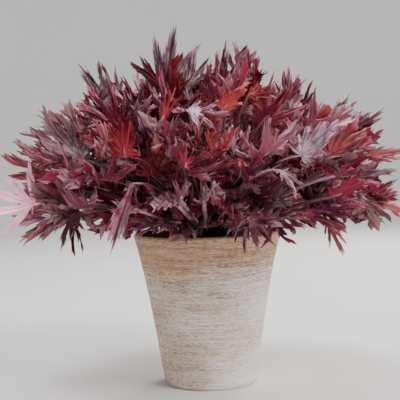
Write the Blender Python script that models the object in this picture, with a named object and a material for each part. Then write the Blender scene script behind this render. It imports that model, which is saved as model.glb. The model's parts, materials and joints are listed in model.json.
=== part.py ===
"""Potted heuchera: a tapered, flared terracotta pot with its potting mix, and the plant in it.

The plant is one woody crown and the leaves that grow from it, each leaf one piece from the foot of
its stalk to the tips of its lobes. Metres, +Z up, origin at the centre of the pot's foot.
"""

import math

import bmesh
import bpy
from mathutils import Vector

# Pot: outer size, then its wall, floor and drain hole.
POT_HEIGHT = 0.174
RIM_RADIUS = 0.086
FOOT_RADIUS = 0.0535
FLARE_SHARE = 0.22
FLARE_POWER = 3
FOOT_ROUND = 0.0035
RIM_WALL = 0.0065
FOOT_WALL = 0.0090
FLOOR_THICKNESS = 0.0110
DRAIN_RADIUS = 0.0090
WALL_START_Z = 0.0120
WALL_RINGS = 7
POT_SIDES = 48
SHARP_ANGLE = math.radians(35.0)

# Potting mix and crown.
GAP = 0.0003
SOIL_BELOW_RIM = 0.0150
SOIL_MOUND = 0.0020
SOIL_SHOULDER = (0.045, 0.75)
CROWN_RADIUS = 0.0200
CROWN_CENTRE_Z = 0.1640
CROWN_SIDES = 24
CROWN_RINGS = 5

# How the leaves stand: directions spread evenly over a cap of the sphere round the crown.
LATTICE_SIZE = 60
LOWEST_LAUNCH = math.radians(15.5)
FRONT_LAUNCH = math.radians(31.0)
FRONT_HALF_WIDTH = math.radians(52.0)
FRONT_AZIMUTH = math.radians(-90.0)
GOLDEN_ANGLE = math.pi * (3.0 - math.sqrt(5.0))
FIRST_AZIMUTH = math.radians(180.0)
REACH = 0.238
REACH_WAVE = 0.010
SPIRE_REACH = 0.248
LEAN_TO_FRONT = 0.0145
NOD = 0.36
NOD_POWER = 3
CONE_FILL = 0.93

# One leaf: stalk, then a palm with five pointed fingers.
STALK_WIDTH = 0.0028
STALK_THICKNESS = 0.0024
STALK_ROWS = 7
BLADE_SHARE = 0.34
PALM_SHARE = 0.46
PALM_THICKNESS = 0.0014
FINGER_THICKNESS = 0.0011
TIP_THICKNESS = 0.0007
FINGER_ENDS = ((-1.00, 0.60), (-0.62, 0.87), (0.00, 1.00), (0.62, 0.87), (1.00, 0.60))
FINGER_FOOT = 0.32
FINGER_BULGE = 0.06
PALM_SPREAD = 0.66
PALM_SET_BACK = 0.62
CUP = 0.30
ROLL_SWING = math.radians(48.0)


def finish(name, rgb, roughness):
    """A plain Principled material for one piece."""
    material = bpy.data.materials.new(name)
    material.use_nodes = True
    shader = material.node_tree.nodes["Principled BSDF"]
    shader.inputs["Base Color"].default_value = (*rgb, 1.0)
    shader.inputs["Roughness"].default_value = roughness
    shader.inputs["Metallic"].default_value = 0.0
    return material


def add_piece(name, bm, rgb, roughness, smooth):
    """Turn a closed bmesh into a named object with its own material."""
    bmesh.ops.recalc_face_normals(bm, faces=bm.faces)
    mesh = bpy.data.meshes.new(name)
    bm.to_mesh(mesh)
    bm.free()
    if smooth:
        mesh.shade_smooth()
        mesh.set_sharp_from_angle(angle=SHARP_ANGLE)
    mesh.materials.append(finish(name, rgb, roughness))
    piece = bpy.data.objects.new(name, mesh)
    bpy.context.collection.objects.link(piece)
    return piece


def turned(profile, closed, sides):
    """Spin a profile of (radius, height) points about the Z axis into a closed skin."""
    bm = bmesh.new()
    ring = [bm.verts.new((radius, 0.0, z)) for radius, z in profile]
    pairs = list(zip(ring, ring[1:]))
    if closed:
        pairs.append((ring[-1], ring[0]))
    edges = [bm.edges.new(pair) for pair in pairs]
    bmesh.ops.spin(
        bm,
        geom=ring + edges,
        axis=(0.0, 0.0, 1.0),
        cent=(0.0, 0.0, 0.0),
        angle=math.tau,
        steps=sides,
        use_merge=True,
    )
    bmesh.ops.remove_doubles(bm, verts=bm.verts, dist=0.00001)
    return bm


def outer_radius(z):
    """Outer radius of the pot: a straight taper that flares towards the rim."""
    t = z / POT_HEIGHT
    growth = (1.0 - FLARE_SHARE) * t + FLARE_SHARE * t**FLARE_POWER
    return FOOT_RADIUS + (RIM_RADIUS - FOOT_RADIUS) * growth


def inner_radius(z):
    """Inner radius of the pot: its wall thins from the foot to the rim."""
    t = z / POT_HEIGHT
    return outer_radius(z) - (FOOT_WALL + (RIM_WALL - FOOT_WALL) * t)


def arc(centre, radius, start_deg, end_deg, points):
    """Points on an arc in the (radius, height) plane."""
    angles = [
        math.radians(start_deg + (end_deg - start_deg) * i / (points - 1)) for i in range(points)
    ]
    return [(centre[0] + radius * math.cos(a), centre[1] + radius * math.sin(a)) for a in angles]


def heights(low, high, count):
    """Evenly spaced heights from low to high."""
    return [low + (high - low) * i / (count - 1) for i in range(count)]


def make_pot():
    """The pot: foot with a rounded edge, flared wall, rounded lip and a drain hole."""
    lip = RIM_WALL / 2.0
    lip_z = POT_HEIGHT - lip
    foot = arc((FOOT_RADIUS - FOOT_ROUND, FOOT_ROUND), FOOT_ROUND, -90.0, -12.0, 4)
    wall = [(outer_radius(z), z) for z in heights(WALL_START_Z, lip_z, WALL_RINGS)]
    top = arc((outer_radius(lip_z) - lip, lip_z), lip, 20.0, 160.0, 5)
    inside = [(inner_radius(z), z) for z in heights(lip_z, FLOOR_THICKNESS, WALL_RINGS)]
    drain = [(DRAIN_RADIUS, FLOOR_THICKNESS), (DRAIN_RADIUS, 0.0)]
    bm = turned(foot + wall + top + inside + drain, True, POT_SIDES)
    return add_piece("pot", bm, (0.52, 0.42, 0.33), 0.85, True)


def make_potting_mix():
    """The potting mix: a plug that fills the pot to a little below its rim, slightly mounded."""
    edge_z = POT_HEIGHT - SOIL_BELOW_RIM
    low_z = FLOOR_THICKNESS + 2.0 * GAP
    side = [(inner_radius(z) - GAP, z) for z in heights(low_z, edge_z, WALL_RINGS)]
    shoulder_radius, shoulder_share = SOIL_SHOULDER
    mound = [(shoulder_radius, edge_z + SOIL_MOUND * shoulder_share), (0.0, edge_z + SOIL_MOUND)]
    bm = turned([(0.0, low_z)] + side + mound, False, POT_SIDES)
    return add_piece("potting_mix", bm, (0.028, 0.020, 0.015), 0.95, False)


def make_crown():
    """The crown: the woody knob on the potting mix that all the leaves grow from."""
    base_z = POT_HEIGHT - SOIL_BELOW_RIM + SOIL_MOUND + GAP
    dip = math.degrees(math.asin((base_z - CROWN_CENTRE_Z) / CROWN_RADIUS))
    dome = arc((0.0, CROWN_CENTRE_Z), CROWN_RADIUS, dip, 90.0, CROWN_RINGS)
    dome[-1] = (0.0, CROWN_CENTRE_Z + CROWN_RADIUS)
    bm = turned([(0.0, base_z)] + dome, False, CROWN_SIDES)
    return add_piece("crown", bm, (0.085, 0.040, 0.028), 0.9, True)


def launch_directions():
    """(azimuth, elevation) of each leaf at the crown, from straight up to the lowest ring."""
    low = math.sin(LOWEST_LAUNCH)
    spread = []
    for i in range(LATTICE_SIZE):
        height = 1.0 - (1.0 - low) * (i + 0.5) / LATTICE_SIZE
        azimuth = (FIRST_AZIMUTH + i * GOLDEN_ANGLE) % math.tau
        elevation = math.asin(height)
        off_front = abs((azimuth - FRONT_AZIMUTH + math.pi) % math.tau - math.pi)
        if elevation > FRONT_LAUNCH or off_front > FRONT_HALF_WIDTH:
            spread.append((azimuth, elevation))
    return spread


def unit(azimuth, elevation):
    """Unit vector of a direction."""
    flat = math.cos(elevation)
    return Vector((flat * math.cos(azimuth), flat * math.sin(azimuth), math.sin(elevation)))


def nearest_angles(directions):
    """For each direction, the angle to its nearest neighbour."""
    units = [unit(*d) for d in directions]
    return [min(u.angle(v) for v in units if v is not u) for u in units]


def nodded(point):
    """Where a point of a straight leaf lies once the leaf has arched over.

    Every distance from the crown turns down by its own angle, so no two leaves can meet.
    """
    flat = math.hypot(point.x, point.y)
    distance = point.length
    elevation = math.atan2(point.z, flat)
    turn = NOD * (distance / REACH) ** NOD_POWER * math.cos(elevation)
    bent = unit(math.atan2(point.y, point.x), elevation - turn) * distance
    return bent + Vector((0.0, 0.0, CROWN_CENTRE_Z))


def leaf_outline(reach, half_angle):
    """The leaf laid flat: (along, across, thickness) points and the triangles between them."""
    start = CROWN_RADIUS + GAP
    palm_start = reach * (1.0 - BLADE_SHARE)
    blade = reach - palm_start
    points = []
    for i in range(STALK_ROWS):
        along = start + (palm_start - start) * i / (STALK_ROWS - 1)
        for side in (-1.0, 1.0):
            points.append((along, side * STALK_WIDTH / 2.0, STALK_THICKNESS))
    triangles = []
    for i in range(STALK_ROWS - 1):
        a = 2 * i
        triangles += [(a, a + 2, a + 3), (a, a + 3, a + 1)]

    fingers = len(FINGER_ENDS)
    palm_along = palm_start + blade * PALM_SHARE
    palm_half = palm_along * math.tan(half_angle) * CONE_FILL * PALM_SPREAD
    palm_first = len(points)
    for i in range(fingers + 1):
        across = 2.0 * i / fingers - 1.0
        set_back = PALM_SET_BACK * blade * PALM_SHARE * across * across
        points.append((palm_along - set_back, palm_half * across, PALM_THICKNESS))
    left, right = 2 * STALK_ROWS - 2, 2 * STALK_ROWS - 1
    middle = palm_first + fingers // 2
    for i in range(fingers):
        foot = left if palm_first + i < middle else right
        triangles.append((foot, palm_first + i, palm_first + i + 1))
    triangles.append((left, middle, right))

    for i, (across, share) in enumerate(FINGER_ENDS):
        foot_left, foot_right = palm_first + i, palm_first + i + 1
        end_along = palm_start + blade * share
        end_across = end_along * math.tan(half_angle) * CONE_FILL * across
        end = Vector((end_along, end_across))
        shoulders = []
        for foot in (foot_left, foot_right):
            base = Vector(points[foot][:2])
            shoulders.append(base.lerp(end, FINGER_FOOT))
        widen = (shoulders[1] - shoulders[0]) * FINGER_BULGE
        first = len(points)
        points.append((*(shoulders[0] - widen), FINGER_THICKNESS))
        points.append((*(shoulders[1] + widen), FINGER_THICKNESS))
        points.append((*end, TIP_THICKNESS))
        triangles.append((foot_left, first, foot_right))
        triangles.append((foot_right, first, first + 1))
        triangles.append((first, first + 2, first + 1))
    return points, triangles


def outline_edges(triangles):
    """The edges that only one triangle has, each in the direction that triangle runs it."""
    runs = [(t[i], t[(i + 1) % 3]) for t in triangles for i in range(3)]
    known = set(runs)
    return [(a, b) for a, b in runs if (b, a) not in known]


def make_leaf(name, direction, half_angle, index):
    """One leaf: its flat outline given thickness, cupped, rolled, aimed and arched over."""
    azimuth, elevation = direction
    wave = math.sin(3.0 * azimuth + 1.3) + math.sin(2.6 * index)
    reach = REACH - REACH_WAVE * (0.5 + 0.5 * wave)
    reach -= LEAN_TO_FRONT * math.sin(azimuth) * math.cos(elevation)
    if index == 0:
        reach = SPIRE_REACH
    points, triangles = leaf_outline(reach, half_angle)

    forward = unit(azimuth, elevation)
    level = Vector((-math.sin(azimuth), math.cos(azimuth), 0.0))
    upward = forward.cross(level)
    roll = ROLL_SWING * math.sin(1.7 * index)
    across_axis = level * math.cos(roll) + upward * math.sin(roll)
    normal_axis = upward * math.cos(roll) - level * math.sin(roll)

    bm = bmesh.new()
    skins = {}
    for face_side in (1.0, -1.0):
        skin = []
        for along, across, thickness in points:
            rise = CUP * across * across / (reach * math.tan(half_angle))
            height = rise + face_side * thickness / 2.0
            point = forward * along + across_axis * across + normal_axis * height
            skin.append(bm.verts.new(nodded(point)))
        skins[face_side] = skin
    upper, lower = skins[1.0], skins[-1.0]
    for a, b, c in triangles:
        bm.faces.new((upper[a], upper[b], upper[c]))
        bm.faces.new((lower[c], lower[b], lower[a]))
    for a, b in outline_edges(triangles):
        bm.faces.new((upper[b], upper[a], lower[a], lower[b]))
    shade = 0.5 + 0.5 * math.sin(2.1 * index)
    rgb = (0.13 + 0.12 * shade, 0.015 + 0.02 * shade, 0.03 + 0.03 * shade)
    return add_piece(name, bm, rgb, 0.55, False)


def tier_name(elevation):
    """What a gardener would call the part of the plant that a leaf belongs to."""
    if elevation > math.radians(64.0):
        return "top_leaf"
    if elevation > math.radians(44.0):
        return "upper_leaf"
    if elevation > math.radians(27.0):
        return "middle_leaf"
    return "skirt_leaf"


def make_leaves():
    """All the leaves, numbered within their tier from the inside out."""
    directions = launch_directions()
    spacing = nearest_angles(directions)
    counts = {}
    for index, (direction, apart) in enumerate(zip(directions, spacing)):
        tier = tier_name(direction[1])
        counts[tier] = counts.get(tier, 0) + 1
        make_leaf(f"{tier}_{counts[tier]:02d}", direction, apart / 2.0, index)


def main():
    """Clear the scene and build the potted plant."""
    for piece in list(bpy.data.objects):
        bpy.data.objects.remove(piece, do_unlink=True)
    make_pot()
    make_potting_mix()
    make_crown()
    make_leaves()


main()
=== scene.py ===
"""Potted heuchera, dressed: frilly cut leaves on their stalks, the crown, the potting mix and the pot.

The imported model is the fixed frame. Every leaf node of the frame is replaced by a full leaf that
grows along the same stalk line, smaller leaves fill the plant between them, and the pot, the mix
and the crown get their turned, crumbly and woody surfaces. Metres, +Z up, the viewer at -Y.
"""

import json
import logging
import math
from collections.abc import Callable, Iterator
from contextlib import contextmanager
from dataclasses import dataclass, field
from enum import Enum

import bpy
import numpy as np
from mathutils import Euler, Matrix, Vector

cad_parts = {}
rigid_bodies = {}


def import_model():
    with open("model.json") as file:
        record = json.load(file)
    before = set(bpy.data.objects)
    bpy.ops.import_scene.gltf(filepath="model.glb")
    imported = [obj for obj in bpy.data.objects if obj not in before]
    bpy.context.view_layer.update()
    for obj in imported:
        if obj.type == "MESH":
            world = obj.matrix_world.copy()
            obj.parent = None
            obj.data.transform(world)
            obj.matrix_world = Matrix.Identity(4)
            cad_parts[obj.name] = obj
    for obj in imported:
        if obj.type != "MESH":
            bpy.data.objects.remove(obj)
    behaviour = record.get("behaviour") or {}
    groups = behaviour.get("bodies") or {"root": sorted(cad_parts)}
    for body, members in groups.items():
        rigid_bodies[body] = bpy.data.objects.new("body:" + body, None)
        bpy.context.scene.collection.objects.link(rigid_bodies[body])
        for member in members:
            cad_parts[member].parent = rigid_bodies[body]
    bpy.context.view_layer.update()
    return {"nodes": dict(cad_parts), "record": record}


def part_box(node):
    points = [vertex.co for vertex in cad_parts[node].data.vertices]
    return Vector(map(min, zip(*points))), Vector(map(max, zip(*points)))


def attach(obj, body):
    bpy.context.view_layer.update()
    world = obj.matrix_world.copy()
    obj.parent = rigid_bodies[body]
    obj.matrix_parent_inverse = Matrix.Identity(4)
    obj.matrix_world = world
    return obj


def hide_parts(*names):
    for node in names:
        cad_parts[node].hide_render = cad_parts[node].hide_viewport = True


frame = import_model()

log = logging.getLogger("heuchera")
BODY = "root"
Colour = tuple[float, float, float]
Place = tuple[float, float, float]


# ---------------------------------------------------------------------------------------------
# Small helpers for working with objects as by hand
# ---------------------------------------------------------------------------------------------


def deselect_all() -> None:
    """Leave nothing selected and no object in edit mode."""
    if bpy.context.object and bpy.context.object.mode != "OBJECT":
        bpy.ops.object.mode_set(mode="OBJECT")
    bpy.ops.object.select_all(action="DESELECT")


def pick(piece: bpy.types.Object) -> None:
    """Make one object the only selected one and the active one."""
    deselect_all()
    piece.select_set(True)
    bpy.context.view_layer.objects.active = piece


def places(piece: bpy.types.Object) -> np.ndarray:
    """The vertex positions of a mesh.

    Args:
        piece: The mesh object.

    Returns:
        An array with one row of x, y, z for each vertex.
    """
    flat = np.empty(len(piece.data.vertices) * 3)
    piece.data.vertices.foreach_get("co", flat)
    return flat.reshape(-1, 3)


def move_to(piece: bpy.types.Object, points: np.ndarray) -> None:
    """Put the vertices of a mesh at the given positions."""
    piece.data.vertices.foreach_set("co", points.astype(np.float32).ravel())
    piece.data.update()


def apply_modifiers(piece: bpy.types.Object) -> None:
    """Apply every modifier of an object, in order."""
    pick(piece)
    for modifier in list(piece.modifiers):
        bpy.ops.object.modifier_apply(modifier=modifier.name)


def join(pieces: list[bpy.types.Object], name: str) -> bpy.types.Object:
    """Join meshes into the first of them.

    Args:
        pieces: The objects to join; the first one's vertices come first.
        name: The name of the joined object.

    Returns:
        The joined object.
    """
    deselect_all()
    for piece in pieces:
        piece.select_set(True)
    bpy.context.view_layer.objects.active = pieces[0]
    if len(pieces) > 1:
        bpy.ops.object.join()
    pieces[0].name = name
    pieces[0].data.name = name
    return pieces[0]


def settle(piece: bpy.types.Object) -> None:
    """Put an object's place, turn and size into its mesh."""
    pick(piece)
    bpy.ops.object.transform_apply(location=True, rotation=True, scale=True)


def level_circle(
    sides: int, radius: float, height: float = 0.0, fill: str = "NGON"
) -> bpy.types.Object:
    """A level circle of vertices on the pot's axis, filled or not."""
    deselect_all()
    bpy.ops.mesh.primitive_circle_add(
        vertices=sides, radius=radius, fill_type=fill, location=(0.0, 0.0, height)
    )
    piece = bpy.context.object
    settle(piece)
    return piece


def smooth(piece: bpy.types.Object, degrees: float) -> None:
    """Shade an object smooth, with edges sharper than an angle left sharp."""
    pick(piece)
    bpy.ops.object.shade_smooth_by_angle(angle=math.radians(degrees))


@contextmanager
def editing(piece: bpy.types.Object) -> Iterator[None]:
    """Edit a mesh, with everything on it selected at first, then go back to object mode."""
    pick(piece)
    bpy.ops.object.mode_set(mode="EDIT")
    bpy.ops.mesh.select_all(action="SELECT")
    yield
    bpy.ops.object.mode_set(mode="OBJECT")


def extrude(x: float, y: float, z: float) -> None:
    """Extrude the selected faces by a move."""
    bpy.ops.mesh.extrude_region_move(TRANSFORM_OT_translate={"value": (x, y, z)})


def draw_rings(profile: list[tuple[float, float]], extrusion: Callable) -> None:
    """Draw the selected ring out through a profile.

    Args:
        profile: Radius and height of each ring; the first one is the selected ring's own.
        extrusion: The extrusion to use, of a region or of edges.
    """
    for (radius, z), (wider, higher) in zip(profile, profile[1:]):
        extrusion(TRANSFORM_OT_translate={"value": (0.0, 0.0, higher - z)})
        growth = wider / radius
        bpy.ops.transform.resize(value=(growth, growth, 1.0), center_override=(0, 0, higher))


def turn_outward(piece: bpy.types.Object) -> None:
    """Merge doubled vertices and make the faces point out."""
    with editing(piece):
        bpy.ops.mesh.remove_doubles(threshold=0.00001)
        bpy.ops.mesh.normals_make_consistent(inside=False)


def dress(
    piece: bpy.types.Object, name: str, degrees: float, material: bpy.types.Material
) -> None:
    """Name a piece, shade it smooth up to an angle and give it its material."""
    piece.name = name
    piece.data.name = name
    smooth(piece, degrees)
    piece.data.materials.append(material)


# ---------------------------------------------------------------------------------------------
# Laying out shader nodes
# ---------------------------------------------------------------------------------------------


class Nodes:
    """Lays nodes in a node tree and links them in short calls."""

    def __init__(self, tree: bpy.types.NodeTree) -> None:
        """Start on an empty tree."""
        self.tree = tree
        tree.nodes.clear()

    def add(self, kind: str, links: dict | None = None, **settings) -> bpy.types.Node:
        """Add a node.

        Args:
            kind: The node's type, such as ShaderNodeMath.
            links: Input name or index to a socket to link or a value to set.
            settings: The node's own properties.

        Returns:
            The new node.
        """
        node = self.tree.nodes.new(kind)
        for key, value in settings.items():
            setattr(node, key, value)
        for key, value in (links or {}).items():
            self.feed(node.inputs[key], value)
        return node

    def feed(self, socket: bpy.types.NodeSocket, value: object) -> None:
        """Link a socket to another, or set its value."""
        if isinstance(value, bpy.types.NodeSocket):
            self.tree.links.new(value, socket)
        elif isinstance(value, tuple) and len(value) == 3 and socket.type == "RGBA":
            socket.default_value = (*value, 1.0)
        else:
            socket.default_value = value

    def math(self, operation: str, *values: object, clamp: bool = False) -> bpy.types.NodeSocket:
        """One step of arithmetic on values or sockets."""
        links = dict(enumerate(values))
        node = self.add("ShaderNodeMath", links, operation=operation, use_clamp=clamp)
        return node.outputs[0]

    def mix(self, share: object, first: object, second: object) -> bpy.types.NodeSocket:
        """Blend two colours by a share."""
        node = self.add("ShaderNodeMix", {"Factor": share}, data_type="RGBA")
        self.feed(node.inputs[6], first)
        self.feed(node.inputs[7], second)
        return node.outputs[2]

    def step(self, value: object, low: object, high: object) -> bpy.types.NodeSocket:
        """A smooth step from 0 at low to 1 at high."""
        links = {"Value": value, "From Min": low, "From Max": high}
        node = self.add("ShaderNodeMapRange", links, interpolation_type="SMOOTHSTEP")
        return node.outputs["Result"]

    def scaled(self, value: object, low: float, high: float) -> bpy.types.NodeSocket:
        """Map 0..1 to low..high."""
        links = {"Value": value, "To Min": low, "To Max": high}
        return self.add("ShaderNodeMapRange", links).outputs["Result"]

    def object_place(self, stretch: Place = (1.0, 1.0, 1.0)) -> bpy.types.NodeSocket:
        """The place on the piece, stretched along each axis."""
        where = self.add("ShaderNodeTexCoord").outputs["Object"]
        return self.add("ShaderNodeMapping", {"Vector": where, "Scale": stretch}).outputs[0]

    def stretched(self, stretch: Place, detail: float, roughness: float) -> bpy.types.NodeSocket:
        """A noise pattern from 0 to 1, stretched along each axis."""
        return self.noise(self.object_place(stretch), 1.0, detail, roughness)

    def written(self, name: str) -> bpy.types.NodeSocket:
        """A value that is written on each vertex."""
        return self.add("ShaderNodeAttribute", attribute_name=name).outputs["Fac"]

    def surface(self, colour: object, roughness: object, normal: object) -> None:
        """End the material with one plain shader."""
        links = {"Base Color": colour, "Roughness": roughness, "Normal": normal}
        shader = self.add("ShaderNodeBsdfPrincipled", links)
        self.add("ShaderNodeOutputMaterial", {"Surface": shader.outputs[0]})

    def noise(
        self, place: object, scale: object, detail: float = 3.0, roughness: float = 0.5
    ) -> bpy.types.NodeSocket:
        """A noise pattern from 0 to 1."""
        links = {"Vector": place, "Scale": scale, "Detail": detail, "Roughness": roughness}
        return self.add("ShaderNodeTexNoise", links).outputs["Fac"]


class Effect:
    """A node group that several materials share, with named inputs and outputs."""

    name = "effect"
    inputs: dict[str, float] = {}
    outputs: tuple[str, ...] = ()

    def tree(self) -> bpy.types.NodeTree:
        """The group's tree, built the first time that it is asked for."""
        known = bpy.data.node_groups.get(self.name)
        if known:
            return known
        tree = bpy.data.node_groups.new(self.name, "ShaderNodeTree")
        nodes = Nodes(tree)
        for label, value in self.inputs.items():
            socket = tree.interface.new_socket(label, in_out="INPUT", socket_type="NodeSocketFloat")
            socket.default_value = value
        for label in self.outputs:
            tree.interface.new_socket(label, in_out="OUTPUT", socket_type="NodeSocketFloat")
        source = nodes.add("NodeGroupInput")
        results = self.lay(nodes, source.outputs)
        nodes.add("NodeGroupOutput", dict(zip(self.outputs, results)))
        return tree

    def lay(self, nodes: Nodes, given: object) -> tuple:
        """Lay the group's nodes.

        Args:
            nodes: The helper on the group's tree.
            given: The sockets of the group's inputs.

        Returns:
            One socket for each output, in order.
        """
        raise NotImplementedError

    def place(self, nodes: Nodes, **values: object) -> bpy.types.Node:
        """Place the group in a material.

        Args:
            nodes: The helper on the material's tree.
            values: Input values, with underscores for spaces.

        Returns:
            The group node.
        """
        group = nodes.add("ShaderNodeGroup", node_tree=self.tree())
        for key, value in values.items():
            nodes.feed(group.inputs[key.replace("_", " ")], value)
        return group


class VeinPattern(Effect):
    """Veins of a fan leaf: one along each lobe and fine ones that branch off it."""

    name = "leaf_vein_pattern"
    inputs = {"Main Width": 0.10, "Branches": 9.0, "Branch Width": 0.16}
    outputs = ("Main", "Side", "Out", "Off Centre")

    def lay(self, nodes: Nodes, given: object) -> tuple:
        """Read the leaf's own map: u runs through the lobes, v runs from the stalk outwards."""
        where = nodes.add("ShaderNodeUVMap", uv_map="UVMap").outputs["UV"]
        parts = nodes.add("ShaderNodeSeparateXYZ", {0: where})
        lobe = nodes.math("FRACT", nodes.math("MULTIPLY", parts.outputs["X"], LOBES))
        off = nodes.math("ABSOLUTE", nodes.math("MULTIPLY_ADD", lobe, 2.0, -1.0))
        out = parts.outputs["Y"]
        breadth = nodes.math("DIVIDE", given["Main Width"], nodes.math("ADD", out, 0.15))
        main = nodes.math("SUBTRACT", 1.0, nodes.step(off, 0.0, breadth))
        slant = nodes.math("SUBTRACT", out, nodes.math("MULTIPLY", off, 0.22))
        wave = nodes.math("FRACT", nodes.math("MULTIPLY", slant, given["Branches"]))
        crest = nodes.math("ABSOLUTE", nodes.math("MULTIPLY_ADD", wave, 2.0, -1.0))
        side = nodes.math("SUBTRACT", 1.0, nodes.step(crest, 0.0, given["Branch Width"]))
        return main, side, out, off


class Mottle(Effect):
    """Soft patches over a surface, from 0 to 1, with their size and how hard their edges are."""

    name = "soft_mottle"
    inputs = {"Scale": 80.0, "Low": 0.35, "High": 0.65, "Shift": 0.0}
    outputs = ("Patch",)

    def lay(self, nodes: Nodes, given: object) -> tuple:
        """Noise on the object's own place, moved along one axis by the shift."""
        place = nodes.object_place()
        shift = nodes.add("ShaderNodeCombineXYZ", {"Z": given["Shift"]}).outputs[0]
        moved = nodes.add("ShaderNodeVectorMath", {0: place, 1: shift}, operation="ADD").outputs[0]
        value = nodes.noise(moved, given["Scale"], 4.0, 0.55)
        return (nodes.step(value, given["Low"], given["High"]),)


class Blister(Effect):
    """The fine puckering of a surface as a height: leaf tissue, bark or crumbs."""

    name = "fine_blister"
    inputs = {"Scale": 700.0, "Fine Scale": 2400.0, "Fine Share": 0.35}
    outputs = ("Height",)

    def lay(self, nodes: Nodes, given: object) -> tuple:
        """Rounded cells with finer noise on top."""
        place = nodes.object_place()
        links = {"Vector": place, "Scale": given["Scale"]}
        cells = nodes.add("ShaderNodeTexVoronoi", links, feature="SMOOTH_F1").outputs["Distance"]
        fine = nodes.noise(place, given["Fine Scale"], 2.0)
        return (nodes.math("ADD", cells, nodes.math("MULTIPLY", fine, given["Fine Share"])),)


def new_material(name: str) -> tuple[bpy.types.Material, Nodes]:
    """An empty node material and the helper on its tree."""
    material = bpy.data.materials.new(name)
    material.use_nodes = True
    return material, Nodes(material.node_tree)


def bumped(nodes: Nodes, height: object, distance: float, strength: float) -> object:
    """A normal from a height."""
    links = {"Height": height, "Distance": distance, "Strength": strength}
    return nodes.add("ShaderNodeBump", links).outputs["Normal"]


# ---------------------------------------------------------------------------------------------
# Finishes
# ---------------------------------------------------------------------------------------------

LOBES = 7


@dataclass(frozen=True)
class LeafFinish:
    """One colouring of a leaf blade."""

    slot: str
    deep: Colour
    mid: Colour
    # Silver bloom between the veins: the leaf's own overlay, made brighter as a painted highlight.
    bloom_and_highlight: Colour
    bloom_and_highlight_share: float
    vein: Colour
    vein_share: float
    # Pale edge along the margins: partly the margin's own colour, partly a painted highlight.
    edge: Colour
    pale_edge_and_highlight_share: float
    under: Colour
    light_through: float
    roughness: float

    def material(self) -> bpy.types.Material:
        """Build the blade's material.

        Returns:
            The material: mottled ground, bloom between the veins and pale edge, both partly painted
                highlight, veins and underside.
        """
        name = self.slot + "_blade"
        known = bpy.data.materials.get(name)
        if known:
            return known
        material, nodes = new_material(name)
        tint = nodes.written("tint")
        below = nodes.written("under")
        veins = VeinPattern().place(nodes).outputs
        ground = Mottle().place(nodes, Scale=95.0, Low=0.36, High=0.66).outputs[0]
        shifted = nodes.math("MULTIPLY_ADD", tint, 0.7, 0.4)
        patch = Mottle().place(nodes, Scale=130.0, Low=0.30, High=0.62, Shift=shifted).outputs[0]
        colour = nodes.mix(ground, self.deep, self.mid)

        # The bloom: silver overlay between the veins, partly a painted highlight.
        between = nodes.math("SUBTRACT", 1.0, veins["Main"], clamp=True)
        lines = nodes.math("MULTIPLY_ADD", veins["Side"], -0.75, 1.0)
        bloom_and_highlight = nodes.math("MULTIPLY", nodes.math("MULTIPLY", between, lines), patch)
        strength = nodes.scaled(tint, self.bloom_and_highlight_share * 0.55, min(1.0, self.bloom_and_highlight_share * 1.35))
        colour = nodes.mix(nodes.math("MULTIPLY", bloom_and_highlight, strength, clamp=True), colour, self.bloom_and_highlight)
        drawn = nodes.math("MULTIPLY_ADD", veins["Side"], 0.35, veins["Main"], clamp=True)
        colour = nodes.mix(nodes.math("MULTIPLY", drawn, self.vein_share), colour, self.vein)
        # The pale edge: partly the margin's own colour, partly a painted highlight.
        pale_edge_and_highlight = nodes.math("MULTIPLY", nodes.step(veins["Out"], 0.70, 0.98), self.pale_edge_and_highlight_share)
        colour = nodes.mix(pale_edge_and_highlight, colour, self.edge)
        beneath = nodes.mix(nodes.math("MULTIPLY", veins["Main"], 0.5), self.under, self.vein)
        colour = nodes.mix(below, colour, beneath)
        # Each leaf's brightness value lifts or lowers its colour; the value is partly painted light and
        # shade.
        lifted = nodes.scaled(tint, 0.56, 1.40)
        hue = nodes.written("hue")
        links = {
            "Color": colour,
            "Value": lifted,
            "Saturation": nodes.scaled(tint, 1.06, 0.90),
            "Hue": nodes.scaled(hue, 0.462, 0.508),
        }
        colour = nodes.add("ShaderNodeHueSaturation", links).outputs["Color"]

        blister = Blister().place(nodes, Scale=620.0).outputs[0]
        relief = nodes.math("MULTIPLY_ADD", veins["Main"], -0.9, blister)
        relief = nodes.math("MULTIPLY_ADD", veins["Side"], -0.35, relief)
        normal = bumped(nodes, relief, 0.0007, 0.55)
        rough = nodes.scaled(ground, self.roughness - 0.08, self.roughness + 0.08)
        skin = nodes.add(
            "ShaderNodeBsdfPrincipled",
            {"Base Color": colour, "Roughness": rough, "Normal": normal, "IOR": 1.42},
        )
        glow = nodes.add("ShaderNodeBsdfTranslucent", {"Color": colour, "Normal": normal})
        blend = nodes.add(
            "ShaderNodeMixShader", {0: self.light_through, 1: skin.outputs[0], 2: glow.outputs[0]}
        )
        nodes.add("ShaderNodeOutputMaterial", {"Surface": blend.outputs[0]})
        return material


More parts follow.
